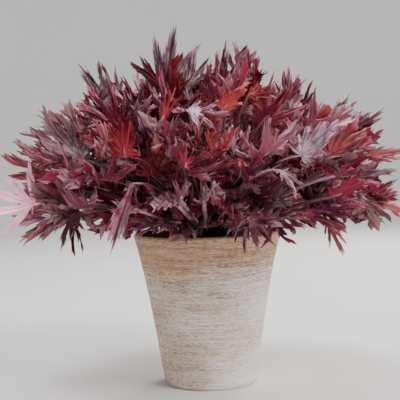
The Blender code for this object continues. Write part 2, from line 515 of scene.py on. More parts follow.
@dataclass(frozen=True)
class StalkFinish:
    """The skin of a leaf stalk: darker at the crown and brighter towards the blade; the bright head is
    partly painted light.
    """

    name: str
    foot: Colour
    head: Colour
    roughness: float = 0.42

    def material(self) -> bpy.types.Material:
        """Build the stalk's material."""
        known = bpy.data.materials.get(self.name)
        if known:
            return known
        material, nodes = new_material(self.name)
        where = nodes.add("ShaderNodeUVMap", uv_map="UVMap").outputs["UV"]
        along = nodes.add("ShaderNodeSeparateXYZ", {0: where}).outputs["Y"]
        tint = nodes.written("tint")
        patch = Mottle().place(nodes, Scale=160.0, Low=0.3, High=0.7).outputs[0]
        colour = nodes.mix(nodes.step(along, 0.05, 0.8), self.foot, self.head)
        dark = nodes.mix(0.5, colour, (0.03, 0.008, 0.010))
        colour = nodes.mix(nodes.math("MULTIPLY", patch, 0.55), colour, dark)
        # The stalk takes its leaf's brightness value, which is partly painted light and shade.
        links = {"Color": colour, "Value": nodes.scaled(tint, 0.7, 1.3)}
        colour = nodes.add("ShaderNodeHueSaturation", links).outputs["Color"]
        blister = Blister().place(nodes, Scale=900.0, Fine_Share=0.5).outputs[0]
        rough = nodes.scaled(patch, self.roughness, self.roughness + 0.15)
        nodes.surface(colour, rough, bumped(nodes, blister, 0.0005, 0.4))
        return material


class LeafKind(Enum):
    """The colourings that the plant's leaves come in, named as in the record's slots."""

    BURGUNDY = LeafFinish(
        slot="burgundy_leaf", light_through=0.26, roughness=0.44,
        deep=(0.12, 0.009, 0.016), mid=(0.33, 0.020, 0.036), under=(0.37, 0.018, 0.036),
        bloom_and_highlight=(0.58, 0.36, 0.41), bloom_and_highlight_share=0.56, vein=(0.34, 0.035, 0.055), vein_share=0.5,
        edge=(0.62, 0.36, 0.41), pale_edge_and_highlight_share=0.75,
    )
    SILVER = LeafFinish(
        slot="silver_leaf", light_through=0.18, roughness=0.40,
        deep=(0.20, 0.075, 0.10), mid=(0.38, 0.19, 0.23), under=(0.42, 0.10, 0.15),
        bloom_and_highlight=(0.70, 0.54, 0.59), bloom_and_highlight_share=0.88, vein=(0.25, 0.04, 0.065), vein_share=0.65,
        edge=(0.66, 0.46, 0.50), pale_edge_and_highlight_share=0.55,
    )
    RED = LeafFinish(
        slot="red_leaf", light_through=0.34, roughness=0.46,
        deep=(0.30, 0.013, 0.014), mid=(0.50, 0.034, 0.030), under=(0.52, 0.040, 0.038),
        bloom_and_highlight=(0.55, 0.24, 0.23), bloom_and_highlight_share=0.35, vein=(0.62, 0.16, 0.13), vein_share=0.5,
        edge=(0.66, 0.36, 0.37), pale_edge_and_highlight_share=0.6,
    )
    WINE = LeafFinish(
        slot="wine_leaf", light_through=0.18, roughness=0.38,
        deep=(0.038, 0.004, 0.007), mid=(0.16, 0.008, 0.016), under=(0.24, 0.015, 0.032),
        bloom_and_highlight=(0.32, 0.17, 0.20), bloom_and_highlight_share=0.45, vein=(0.20, 0.015, 0.025), vein_share=0.5,
        edge=(0.42, 0.20, 0.24), pale_edge_and_highlight_share=0.65,
    )
    # Painted light: the pink colours are raised beyond the leaf's own tone because its place lies in low
    # light.
    PINK = LeafFinish(
        slot="pink_leaf", light_through=0.4, roughness=0.5,
        deep=(0.86, 0.42, 0.53), mid=(0.94, 0.58, 0.68), under=(0.90, 0.50, 0.62),
        bloom_and_highlight=(0.96, 0.76, 0.83), bloom_and_highlight_share=0.5, vein=(0.74, 0.34, 0.44), vein_share=0.5,
        edge=(0.92, 0.70, 0.76), pale_edge_and_highlight_share=0.4,
    )
    # Painted light: the withered colours are raised because the leaf hangs in shade under the foliage.
    WITHERED = LeafFinish(
        slot="withered_leaf", light_through=0.1, roughness=0.66,
        deep=(0.26, 0.12, 0.10), mid=(0.44, 0.235, 0.205), under=(0.40, 0.21, 0.18),
        bloom_and_highlight=(0.50, 0.31, 0.28), bloom_and_highlight_share=0.4, vein=(0.3, 0.16, 0.12), vein_share=0.5,
        edge=(0.07, 0.035, 0.03), pale_edge_and_highlight_share=0.7,
    )

    @classmethod
    def of_slot(cls, slot: str) -> "LeafKind":
        """The kind whose finish fills a record slot."""
        return next(kind for kind in cls if kind.value.slot == slot)


# Short names for the tables of leaves.
BURGUNDY, SILVER, RED, WINE, PINK, WITHERED = LeafKind

# Painted light: the magenta head and the rose stalk are brighter than the stalks' own colour, standing in
# for light on stalks in shade.
MAGENTA_STALK = StalkFinish("magenta_stalk", (0.22, 0.020, 0.036), (0.50, 0.018, 0.065))
LIT_ROSE_STALK = StalkFinish("rose_stalk", (0.55, 0.17, 0.19), (0.66, 0.25, 0.28))
BROWN_STALK = StalkFinish("brown_stalk", (0.10, 0.035, 0.028), (0.22, 0.05, 0.05), 0.5)
STALK_OF_KIND = {WITHERED: BROWN_STALK, SILVER: LIT_ROSE_STALK}


# ---------------------------------------------------------------------------------------------
# The leaf
# ---------------------------------------------------------------------------------------------


@dataclass
class LeafPattern:
    """A flat leaf with its stalk, cut once; every leaf on the plant is a bent copy of one."""

    name: str
    seed: int
    lobe_lengths: tuple[float, ...]
    lobe_spread: float = 112.0
    notch: float = 0.30
    sweep: float = 0.58
    finger_cut: float = 1.0
    out_rows: tuple[float, ...] = (0.05, 0.34, 0.58, 0.77, 0.90, 1.0)
    few_teeth: bool = False
    thickness: float = 0.008
    stalk_sides: int = 6
    stalk_rings: int = 14
    sheet: bpy.types.Object = field(init=False, default=None)

    # How far the stalk runs on under the blade, in two steps, and how thin it gets there.
    UNDER_BLADE = (0.09, 0.11)
    TAPER = 0.35
    # Half of one lobe, from its tip to the notch beside it: place across it, share of its length.
    # Teeth that point forward line its edge.
    HALF_LOBE = (
        (0.00, 1.00), (0.06, 0.86), (0.13, 0.70), (0.18, 0.80), (0.24, 0.88), (0.31, 0.54),
        (0.37, 0.66), (0.43, 0.73), (0.51, 0.37), (0.57, 0.48), (0.63, 0.57), (0.72, 0.20),
        (0.83, 0.36), (0.91, 0.08), (1.00, 0.00),
    )
    # The same with fewer teeth, for the open hand and for leaves that stand inside the plant.
    PLAIN_HALF_LOBE = (
        (0.00, 1.00), (0.14, 0.68), (0.26, 0.86), (0.44, 0.42), (0.62, 0.56), (0.82, 0.16),
        (1.00, 0.00),
    )

    def columns(self) -> list[tuple[float, float]]:
        """Each column of the sheet, from the left edge to the right one.

        Returns:
            Pairs of place through the lobes (0 to LOBES) and distance of the edge from the stalk.
        """
        draw = np.random.RandomState(self.seed)
        half_lobe = self.PLAIN_HALF_LOBE if self.few_teeth else self.HALF_LOBE
        found = []
        for lobe in range(LOBES):
            length = self.lobe_lengths[lobe]
            for side in (-1.0, 1.0):
                near = lobe + (1 if side > 0 else -1)
                beside = self.lobe_lengths[near] if 0 <= near < LOBES else 0.5 * length
                notch = self.notch * min(length, beside)
                steps = half_lobe if side > 0 else half_lobe[::-1]
                for q, share in steps:
                    if 0.0 < q < 1.0:
                        share = 1.0 - (1.0 - share) * self.finger_cut
                        share *= draw.uniform(0.88, 1.08)
                    reach = notch + (length - notch) * share
                    place = lobe + 0.5 + side * q / 2.0
                    if not found or place > found[-1][0] + 1e-6:
                        found.append((place, reach))
        return found

    def build(self) -> None:
        """Cut the blade from a grid, give it thickness and join the stalk to it."""
        columns = self.columns()
        blade = self.blade_sheet(columns)
        stalk = self.stalk_tube()
        self.blade_count = len(blade.data.vertices)
        self.sheet = join([blade, stalk], "pattern_" + self.name)
        mesh = self.sheet.data
        self.flat = places(self.sheet)
        self.read_map(mesh)
        self.sheet.hide_render = True
        self.sheet.hide_viewport = True

    def read_map(self, mesh: bpy.types.Mesh) -> None:
        """Keep each vertex's place through the lobes and out from the stalk."""
        corners = np.empty(len(mesh.loops), dtype=np.int32)
        mesh.loops.foreach_get("vertex_index", corners)
        flat = np.empty(len(mesh.loops) * 2)
        mesh.uv_layers["UVMap"].uv.foreach_get("vector", flat)
        where = np.zeros((len(mesh.vertices), 2))
        where[corners] = flat.reshape(-1, 2)
        self.lobe_place = where[:, 0] * LOBES
        self.outward = where[:, 1]

    def blade_sheet(self, columns: list[tuple[float, float]]) -> bpy.types.Object:
        """The flat blade: a grid drawn out into the lobed outline, with a thickness."""
        across = len(columns) - 1
        deselect_all()
        rows = len(self.out_rows) - 1
        bpy.ops.mesh.primitive_grid_add(x_subdivisions=across, y_subdivisions=rows, size=1.0)
        blade = bpy.context.object
        blade.name = "blade"
        points = places(blade)
        column = np.rint((points[:, 0] + 0.5) * across).astype(int)
        row = np.rint((points[:, 1] + 0.5) * rows).astype(int)
        place = np.array([c[0] for c in columns])[column]
        edge = np.array([c[1] for c in columns])[column]
        out = np.array(self.out_rows)[row]
        radius = out * edge
        axis = np.clip(np.floor(place), 0, LOBES - 1) + 0.5
        off = (place - axis) * 2.0
        drawn_in = 1.0 - self.sweep * out**1.5 * (1.0 - off**4)
        place_swept = axis + (place - axis) * drawn_in
        angle = np.radians((place_swept / LOBES * 2.0 - 1.0) * self.lobe_spread)
        points = np.stack([radius * np.cos(angle), -radius * np.sin(angle), 0 * radius], axis=1)
        self.write_map(blade, place / LOBES, out)
        move_to(blade, points)
        with editing(blade):
            bpy.ops.mesh.flip_normals()
        solid = blade.modifiers.new("Thickness", "SOLIDIFY")
        solid.thickness = self.thickness
        solid.offset = 0.0
        apply_modifiers(blade)
        if blade.data.polygons[0].normal.z * (blade.data.polygons[0].center.z) < 0:
            turn_outward(blade)
        smooth(blade, 50.0)
        below = blade.data.attributes.new("under", "FLOAT", "POINT")
        below.data.foreach_set("value", (places(blade)[:, 2] < 0).astype(np.float32))
        return blade

    def write_map(self, blade: bpy.types.Object, u: np.ndarray, v: np.ndarray) -> None:
        """Write the leaf's own map: u through the lobes, v out from the stalk."""
        mesh = blade.data
        corners = np.empty(len(mesh.loops), dtype=np.int32)
        mesh.loops.foreach_get("vertex_index", corners)
        flat = np.stack([u[corners], v[corners]], axis=1)
        mesh.uv_layers["UVMap"].uv.foreach_set("vector", flat.astype(np.float32).ravel())

    def stalk_tube(self) -> bpy.types.Object:
        """The stalk: a round end pushed out ring by ring, from x = -1 to just under the blade."""
        deselect_all()
        bpy.ops.mesh.primitive_circle_add(
            vertices=self.stalk_sides,
            radius=1.0,
            fill_type="NGON",
            calc_uvs=True,
            rotation=(0.0, math.pi / 2.0, 0.0),
            location=(-1.0, 0.0, 0.0),
        )
        stalk = bpy.context.object
        settle(stalk)
        with editing(stalk):
            for _ in range(self.stalk_rings - 1):
                extrude(1.0 / (self.stalk_rings - 1), 0.0, 0.0)
            for share in self.UNDER_BLADE:
                extrude(share, 0.0, 0.0)
            bpy.ops.transform.resize(value=(1.0, self.TAPER, self.TAPER))
            bpy.ops.mesh.select_all(action="SELECT")
            bpy.ops.mesh.normals_make_consistent(inside=False)
        points = places(stalk)
        around = np.arctan2(points[:, 2], points[:, 1]) / math.tau + 0.5
        self.write_map(stalk, around, np.clip(points[:, 0] + 1.0, 0.0, 1.0))
        stalk.data.attributes.new("under", "FLOAT", "POINT")
        smooth(stalk, 60.0)
        for polygon in stalk.data.polygons:
            polygon.material_index = 1
        return stalk


def level_across(azimuth: float) -> np.ndarray:
    """The level direction square to an azimuth."""
    return np.array([-math.sin(azimuth), math.cos(azimuth), 0.0])


@dataclass
class Growth:
    """How the leaves stand round the crown: the arching rule that the frame's leaves follow."""

    centre: np.ndarray
    reach: float = 0.238
    nod: float = 0.36
    power: int = 3
    rounds: int = 12

    # How far the foliage reaches at each angle over the viewer's horizon, from the right round
    # to the left: degrees, share of the reach.
    OUTLINE = (
        (0.0, 1.0), (25.0, 1.02), (36.0, 1.01), (46.0, 0.95), (58.0, 0.90), (68.0, 0.92),
        (78.0, 0.97), (92.0, 0.96), (112.0, 0.96), (128.0, 1.01), (143.0, 1.00), (155.0, 1.05),
        (180.0, 1.0),
    )

    def fullness(self, azimuth: float, launch: float) -> float:
        """The share of the full reach that the plant fills in a direction."""
        x = math.cos(launch) * math.cos(azimuth)
        z = math.sin(launch)
        turn = math.degrees(math.atan2(z, x))
        angles, shares = zip(*self.OUTLINE)
        share = float(np.interp(turn, angles, shares))
        return 1.0 + (share - 1.0) * math.hypot(x, z)

    def arch(self, launch: float, distance: float, droop: float) -> float:
        """How far down a stalk line has turned at a distance from the crown's centre."""
        return droop * self.nod * (distance / self.reach) ** self.power * math.cos(launch)

    def point(
        self, azimuth: float, launch: float, distance: float, droop: float = 1.0
    ) -> np.ndarray:
        """A point of an arching stalk line.

        Args:
            azimuth: Direction round the pot.
            launch: Elevation at the crown.
            distance: Distance from the crown's centre.
            droop: Share of the usual arching, 0 for a straight stalk.

        Returns:
            The point.
        """
        rise = launch - self.arch(launch, distance, droop)
        flat = math.cos(rise)
        way = np.array([flat * math.cos(azimuth), flat * math.sin(azimuth), math.sin(rise)])
        return self.centre + distance * way

    def launch_of(self, rise: float, distance: float, droop: float = 1.0) -> float:
        """The elevation at the crown of a stalk line that ends at an elevation."""
        launch = rise
        for _ in range(self.rounds):
            launch = rise + self.arch(launch, distance, droop)
        return launch


@dataclass
class Pose:
    """Where one leaf stands and how its blade is held."""

    azimuth: float
    launch: float
    foot: float
    neck: float
    size: float
    breadth: float = 1.0
    roll: float = 0.0
    nod: float = 0.0
    swing: float = 0.0
    cup: float = 0.4
    bend: float = 0.5
    ruffle: float = 0.07
    curl: float = 0.22
    frill: float = 0.07
    stalk_radius: float = 0.0012
    forward: np.ndarray | None = None
    normal: np.ndarray | None = None
    warmth: float | None = None
    # Brightness of the leaf, 0 to 1: partly its own tone, partly painted light and shade for where it
    # stands.
    shade: float | None = None
    droop: float = 1.0


class Leaf:
    """One leaf: a copy of a pattern bent along its stalk line, with its own cup, nod and ruffle."""

    # Waves round the blade, finer ones, and ones that run outwards on a slant.
    WAVES = 9.0
    FINE_WAVES = 17.0
    FINE_SHARE = 0.6
    OUT_WAVES = 11.0
    OUT_SLANT = 5.0
    OUT_SHARE = 0.5
    # Frills on each lobe's edge, and finer ones.
    FRILLS = 2.5
    FINE_FRILLS = 5.5
    FINE_FRILL_SHARE = 0.5
    # Every lobe curls up by this share of the pose's curl, and the rest of it is drawn.
    CURL_UP = 0.2
    LOBE_TURN = 0.14
    LOBE_FOLD = 0.55
    LOBE_TWIST = 1.7
    # The stalk is wider at its foot and narrower at the neck and under the blade.
    FOOT_WIDTH = 1.25
    NECK_WIDTH = 0.90
    UNDER_WIDTH = 0.75
    # A short way along a stalk line, to find its direction.
    AHEAD = 0.001

    def __init__(self, pattern: LeafPattern, growth: Growth, pose: Pose, kind: LeafKind) -> None:
        """Keep what the leaf is made from."""
        self.pattern = pattern
        self.growth = growth
        self.pose = pose
        self.kind = kind

    def spine(self, distance: float) -> np.ndarray:
        """The point of the leaf's stalk line at a distance from the crown's centre."""
        pose = self.pose
        return self.growth.point(pose.azimuth, pose.launch, distance, pose.droop)

    def blade_points(self, draw: np.random.RandomState) -> np.ndarray:
        """The blade in its own axes: x forward, y across, z out of its upper face.

        Args:
            draw: The source of this leaf's own irregularities.

        Returns:
            Points in units of the blade's length.
        """
        pattern, pose = self.pattern, self.pose
        count = pattern.blade_count
        flat = pattern.flat[:count]
        x, y, z = flat[:, 0], flat[:, 1] * pose.breadth, flat[:, 2]
        place, out = pattern.lobe_place[:count], pattern.outward[:count]
        lobe = np.clip(place.astype(int), 0, LOBES - 1)
        off = np.abs((place - lobe) * 2.0 - 1.0)
        radius = np.hypot(x, y)
        angle = np.arctan2(y, x)

        lobe_curl = draw.uniform(-1.0, 1.0, LOBES) * pose.curl + self.CURL_UP * pose.curl
        lobe_turn = draw.uniform(-1.0, 1.0, LOBES) * self.LOBE_TURN
        angle = angle + lobe_turn[lobe] * out**2
        x, y = radius * np.cos(angle), radius * np.sin(angle)
        phase = draw.uniform(0.0, math.tau, 3)
        waves = np.sin(self.WAVES * angle + phase[0])
        waves += self.FINE_SHARE * np.sin(self.FINE_WAVES * angle + phase[1])
        slanted = self.OUT_WAVES * radius + self.OUT_SLANT * angle
        waves += self.OUT_SHARE * np.sin(slanted + phase[2])
        rise = pose.ruffle * waves * radius**1.5
        half = radius * math.radians(pattern.lobe_spread / LOBES) * pose.breadth
        half = half * (1.0 - pattern.sweep * out**1.5)
        rise += self.LOBE_FOLD * off * half
        frills = np.sin(place * math.tau * self.FRILLS + phase[0])
        fine_frills = np.sin(place * math.tau * self.FINE_FRILLS + phase[1])
        rise += pose.frill * frills * out**3 * radius
        rise += self.FINE_FRILL_SHARE * pose.frill * fine_frills * out**4
        rise += lobe_curl[lobe] * (radius * out) ** 2
        twist = draw.uniform(-0.5, 0.5, LOBES)
        signed = (place - lobe) * 2.0 - 1.0
        rise += self.LOBE_TWIST * twist[lobe] * signed * half * out

        wrap = max(pose.cup, 0.02)
        bent_y = np.sin(y * wrap) / wrap
        lift = (1.0 - np.cos(y * wrap)) / wrap
        height = rise + lift + z
        arc = max(abs(pose.bend), 0.02) * math.copysign(1.0, pose.bend)
        turned = x * arc
        bent_x = np.sin(turned) / arc - height * np.sin(-turned)
        bent_z = -(1.0 - np.cos(turned)) / arc + height * np.cos(turned)
        return np.stack([bent_x, bent_y, bent_z], axis=1)

    def blade_axes(self, tangent: np.ndarray, level: np.ndarray) -> np.ndarray:
        """The blade's axes in the plant: columns forward, across and up."""
        pose = self.pose
        forward = tangent if pose.forward is None else pose.forward
        forward = forward / np.linalg.norm(forward)
        if pose.normal is not None:
            up = pose.normal - forward * (pose.normal @ forward)
            up /= np.linalg.norm(up)
        else:
            up = np.cross(forward, level)
            up /= np.linalg.norm(up)
        across = np.cross(up, forward)
        axes = Matrix([list(forward), list(across), list(up)]).transposed()
        turn = Matrix.Rotation(pose.roll, 3, "X")
        turn = turn @ Matrix.Rotation(pose.swing, 3, "Z") @ Matrix.Rotation(pose.nod, 3, "Y")
        return np.array(axes @ turn)

    def stalk_points(self, neck: np.ndarray, axes: np.ndarray) -> np.ndarray:
        """The stalk: each ring set square on the arching line, then in under the blade."""
        pattern, pose = self.pattern, self.pose
        flat = pattern.flat[pattern.blade_count :]
        level = level_across(pose.azimuth)
        points = np.empty_like(flat)
        for t in np.unique(np.round(flat[:, 0], 4)):
            ring = np.abs(flat[:, 0] - t) < 1e-3
            if t <= 1e-4:
                share = t + 1.0
                distance = pose.foot + (pose.neck - pose.foot) * share
                spot = self.spine(distance)
                ahead = self.spine(distance + self.AHEAD)
                way = (ahead - spot) / np.linalg.norm(ahead - spot)
                width = self.FOOT_WIDTH - (self.FOOT_WIDTH - self.NECK_WIDTH) * share
                radius = pose.stalk_radius * width
                side, rise = level, np.cross(way, level)
            else:
                spot = neck + axes @ np.array([t, 0.0, -0.6 * pose.stalk_radius / pose.size])
                spot = neck + (spot - neck) * np.array([pose.size] * 3)
                side, rise = axes[:, 1], axes[:, 2]
                radius = pose.stalk_radius * self.UNDER_WIDTH
            around = flat[ring][:, 1:] * radius
            points[ring] = spot + np.outer(around[:, 0], side) + np.outer(around[:, 1], rise)
        return points

    def write_value(
        self, piece: bpy.types.Object, name: str, fixed: float | None, drawn: float
    ) -> None:
        """Write one value on every vertex of a leaf, the fixed one if there is one."""
        value = drawn if fixed is None else fixed
        attribute = piece.data.attributes.new(name, "FLOAT", "POINT")
        attribute.data.foreach_set("value", np.full(len(piece.data.vertices), value, np.float32))

    def build(self, name: str, draw: np.random.RandomState) -> bpy.types.Object:
        """Make the leaf.

        Args:
            name: The name of the new object.
            draw: The source of this leaf's own irregularities.

        Returns:
            The leaf, at the origin, with its place in its mesh.
        """
        pose = self.pose
        piece = self.pattern.sheet.copy()
        piece.data = self.pattern.sheet.data.copy()
        piece.name = name
        piece.data.name = name
        piece.hide_render = False
        piece.hide_viewport = False
        bpy.context.collection.objects.link(piece)

        neck = self.spine(pose.neck)
        ahead = self.spine(pose.neck + self.AHEAD)
        level = level_across(pose.azimuth)
        axes = self.blade_axes(ahead - neck, level)
        blade = neck + (self.blade_points(draw) * pose.size) @ axes.T
        stalk = self.stalk_points(neck, axes)
        move_to(piece, np.concatenate([blade, stalk]))

        # A random tone for each leaf unless its specimen sets the value; set values are partly painted
        # light and shade.
        self.write_value(piece, "tint", pose.shade, draw.uniform(0.0, 1.0))
        self.write_value(piece, "hue", pose.warmth, draw.uniform(0.45, 0.85))
        piece.data.materials.clear()
        piece.data.materials.append(self.kind.value.material())
        stalk_finish = STALK_OF_KIND.get(self.kind, MAGENTA_STALK)
        piece.data.materials.append(stalk_finish.material())
        return piece


# ---------------------------------------------------------------------------------------------
# The plant
# ---------------------------------------------------------------------------------------------


COMMON_PATTERNS = ("broad", "narrow", "ragged", "frilled", "narrow", "ragged")


def leaf_patterns() -> dict[str, LeafPattern]:
    """The flat leaves that every leaf of the plant is bent from, by name."""
    patterns = (
        LeafPattern("broad", 1, (0.55, 0.76, 0.93, 1.00, 0.93, 0.76, 0.55), 112.0, 0.36, 0.48),
        LeafPattern("narrow", 2, (0.42, 0.66, 0.86, 1.00, 0.84, 0.62, 0.40), 94.0, 0.30, 0.48),
        LeafPattern("ragged", 3, (0.60, 0.70, 0.98, 0.92, 1.00, 0.80, 0.50), 118.0, 0.31, 0.50),
        LeafPattern("frilled", 4, (0.58, 0.82, 0.90, 1.00, 0.95, 0.72, 0.62), 130.0, 0.40, 0.44),
        LeafPattern("fan", 5, (0.70, 0.86, 0.96, 1.00, 0.97, 0.84, 0.68), 105.0, 0.62, 0.30, 0.9),
        LeafPattern("lance", 6, (0.10, 0.11, 0.16, 1.00, 0.16, 0.11, 0.10), 112.0, 0.60, 0.26, 0.6),
        LeafPattern("spire", 8, (0.34, 0.60, 0.84, 1.00, 0.88, 0.66, 0.42), 60.0, 0.48, 0.14),
        LeafPattern("hand", 9, (0.20, 0.86, 0.92, 1.00, 0.74, 0.90, 0.60), 112.0, 0.16, 0.50, 0.75,
                    few_teeth=True),
        LeafPattern("plain", 7, (0.60, 0.78, 0.95, 1.00, 0.92, 0.74, 0.56), 115.0, 0.34, 0.46,
                    out_rows=(0.05, 0.62, 1.0), few_teeth=True, stalk_sides=5),
    )
    return {pattern.name: pattern for pattern in patterns}


@dataclass(frozen=True)
class Zone:
    """A part of the plant that is filled with leaves at random.

    Launches and azimuths are in degrees; reach is from the crown's centre to the leaf's tip.
    """

    name: str
    count: int
    launch: tuple[float, float]
    reach: tuple[float, float]
    size: tuple[float, float]
    nod: tuple[float, float]
    kinds: tuple[LeafKind, ...]
    middle: float = -90.0
    half_width: float = 180.0
    plain: bool = False


# What a specimen sets on its pose as it stands.
SHARED_WITH_POSE = (
    "size", "breadth", "cup", "bend", "ruffle", "curl", "frill", "stalk_radius", "warmth", "shade",
    "droop",
)


@dataclass(frozen=True)
class Specimen:
    """A listed leaf: where its blade starts, which way it grows and faces."""

    name: str
    kind: LeafKind
    neck: Place
    way: Place
    face: Place
    size: float
    node: str = ""
    pattern: str = "broad"
    breadth: float = 1.0
    cup: float = 0.6
    bend: float = 0.2
    ruffle: float = 0.05
    curl: float = 0.2
    frill: float = 0.07
    stalk_radius: float = 0.0013
    warmth: float | None = None
    # Brightness of the leaf, 0 to 1: partly its own tone, partly painted light and shade for where it
    # stands.
    shade: float | None = None
    droop: float = 1.0


ZONES = (
    Zone(name="outer", count=165, launch=(22.0, 88.0), reach=(0.196, 0.236), size=(0.040, 0.058),
         nod=(-0.45, 0.5), kinds=(BURGUNDY, SILVER, WINE, SILVER, BURGUNDY, RED, BURGUNDY)),
    Zone(name="inner", count=100, launch=(19.0, 86.0), reach=(0.130, 0.195), size=(0.040, 0.054),
         nod=(-0.5, 0.6), kinds=(WINE, BURGUNDY), plain=True),
    # Painted shade: the low front zone is mostly the dark wine kind because the plant's dome shades it.
    Zone(name="front_low", count=48, launch=(17.0, 46.0), reach=(0.098, 0.168), size=(0.034, 0.048),
         nod=(-0.2, 0.7), kinds=(WINE, BURGUNDY, WINE, WINE, SILVER), middle=-113.0, half_width=58.0),
    Zone(name="back_low", count=28, launch=(16.0, 40.0), reach=(0.115, 0.175), size=(0.036, 0.050),
         nod=(0.1, 1.0), kinds=(WINE, BURGUNDY), middle=90.0, half_width=105.0, plain=True),
)

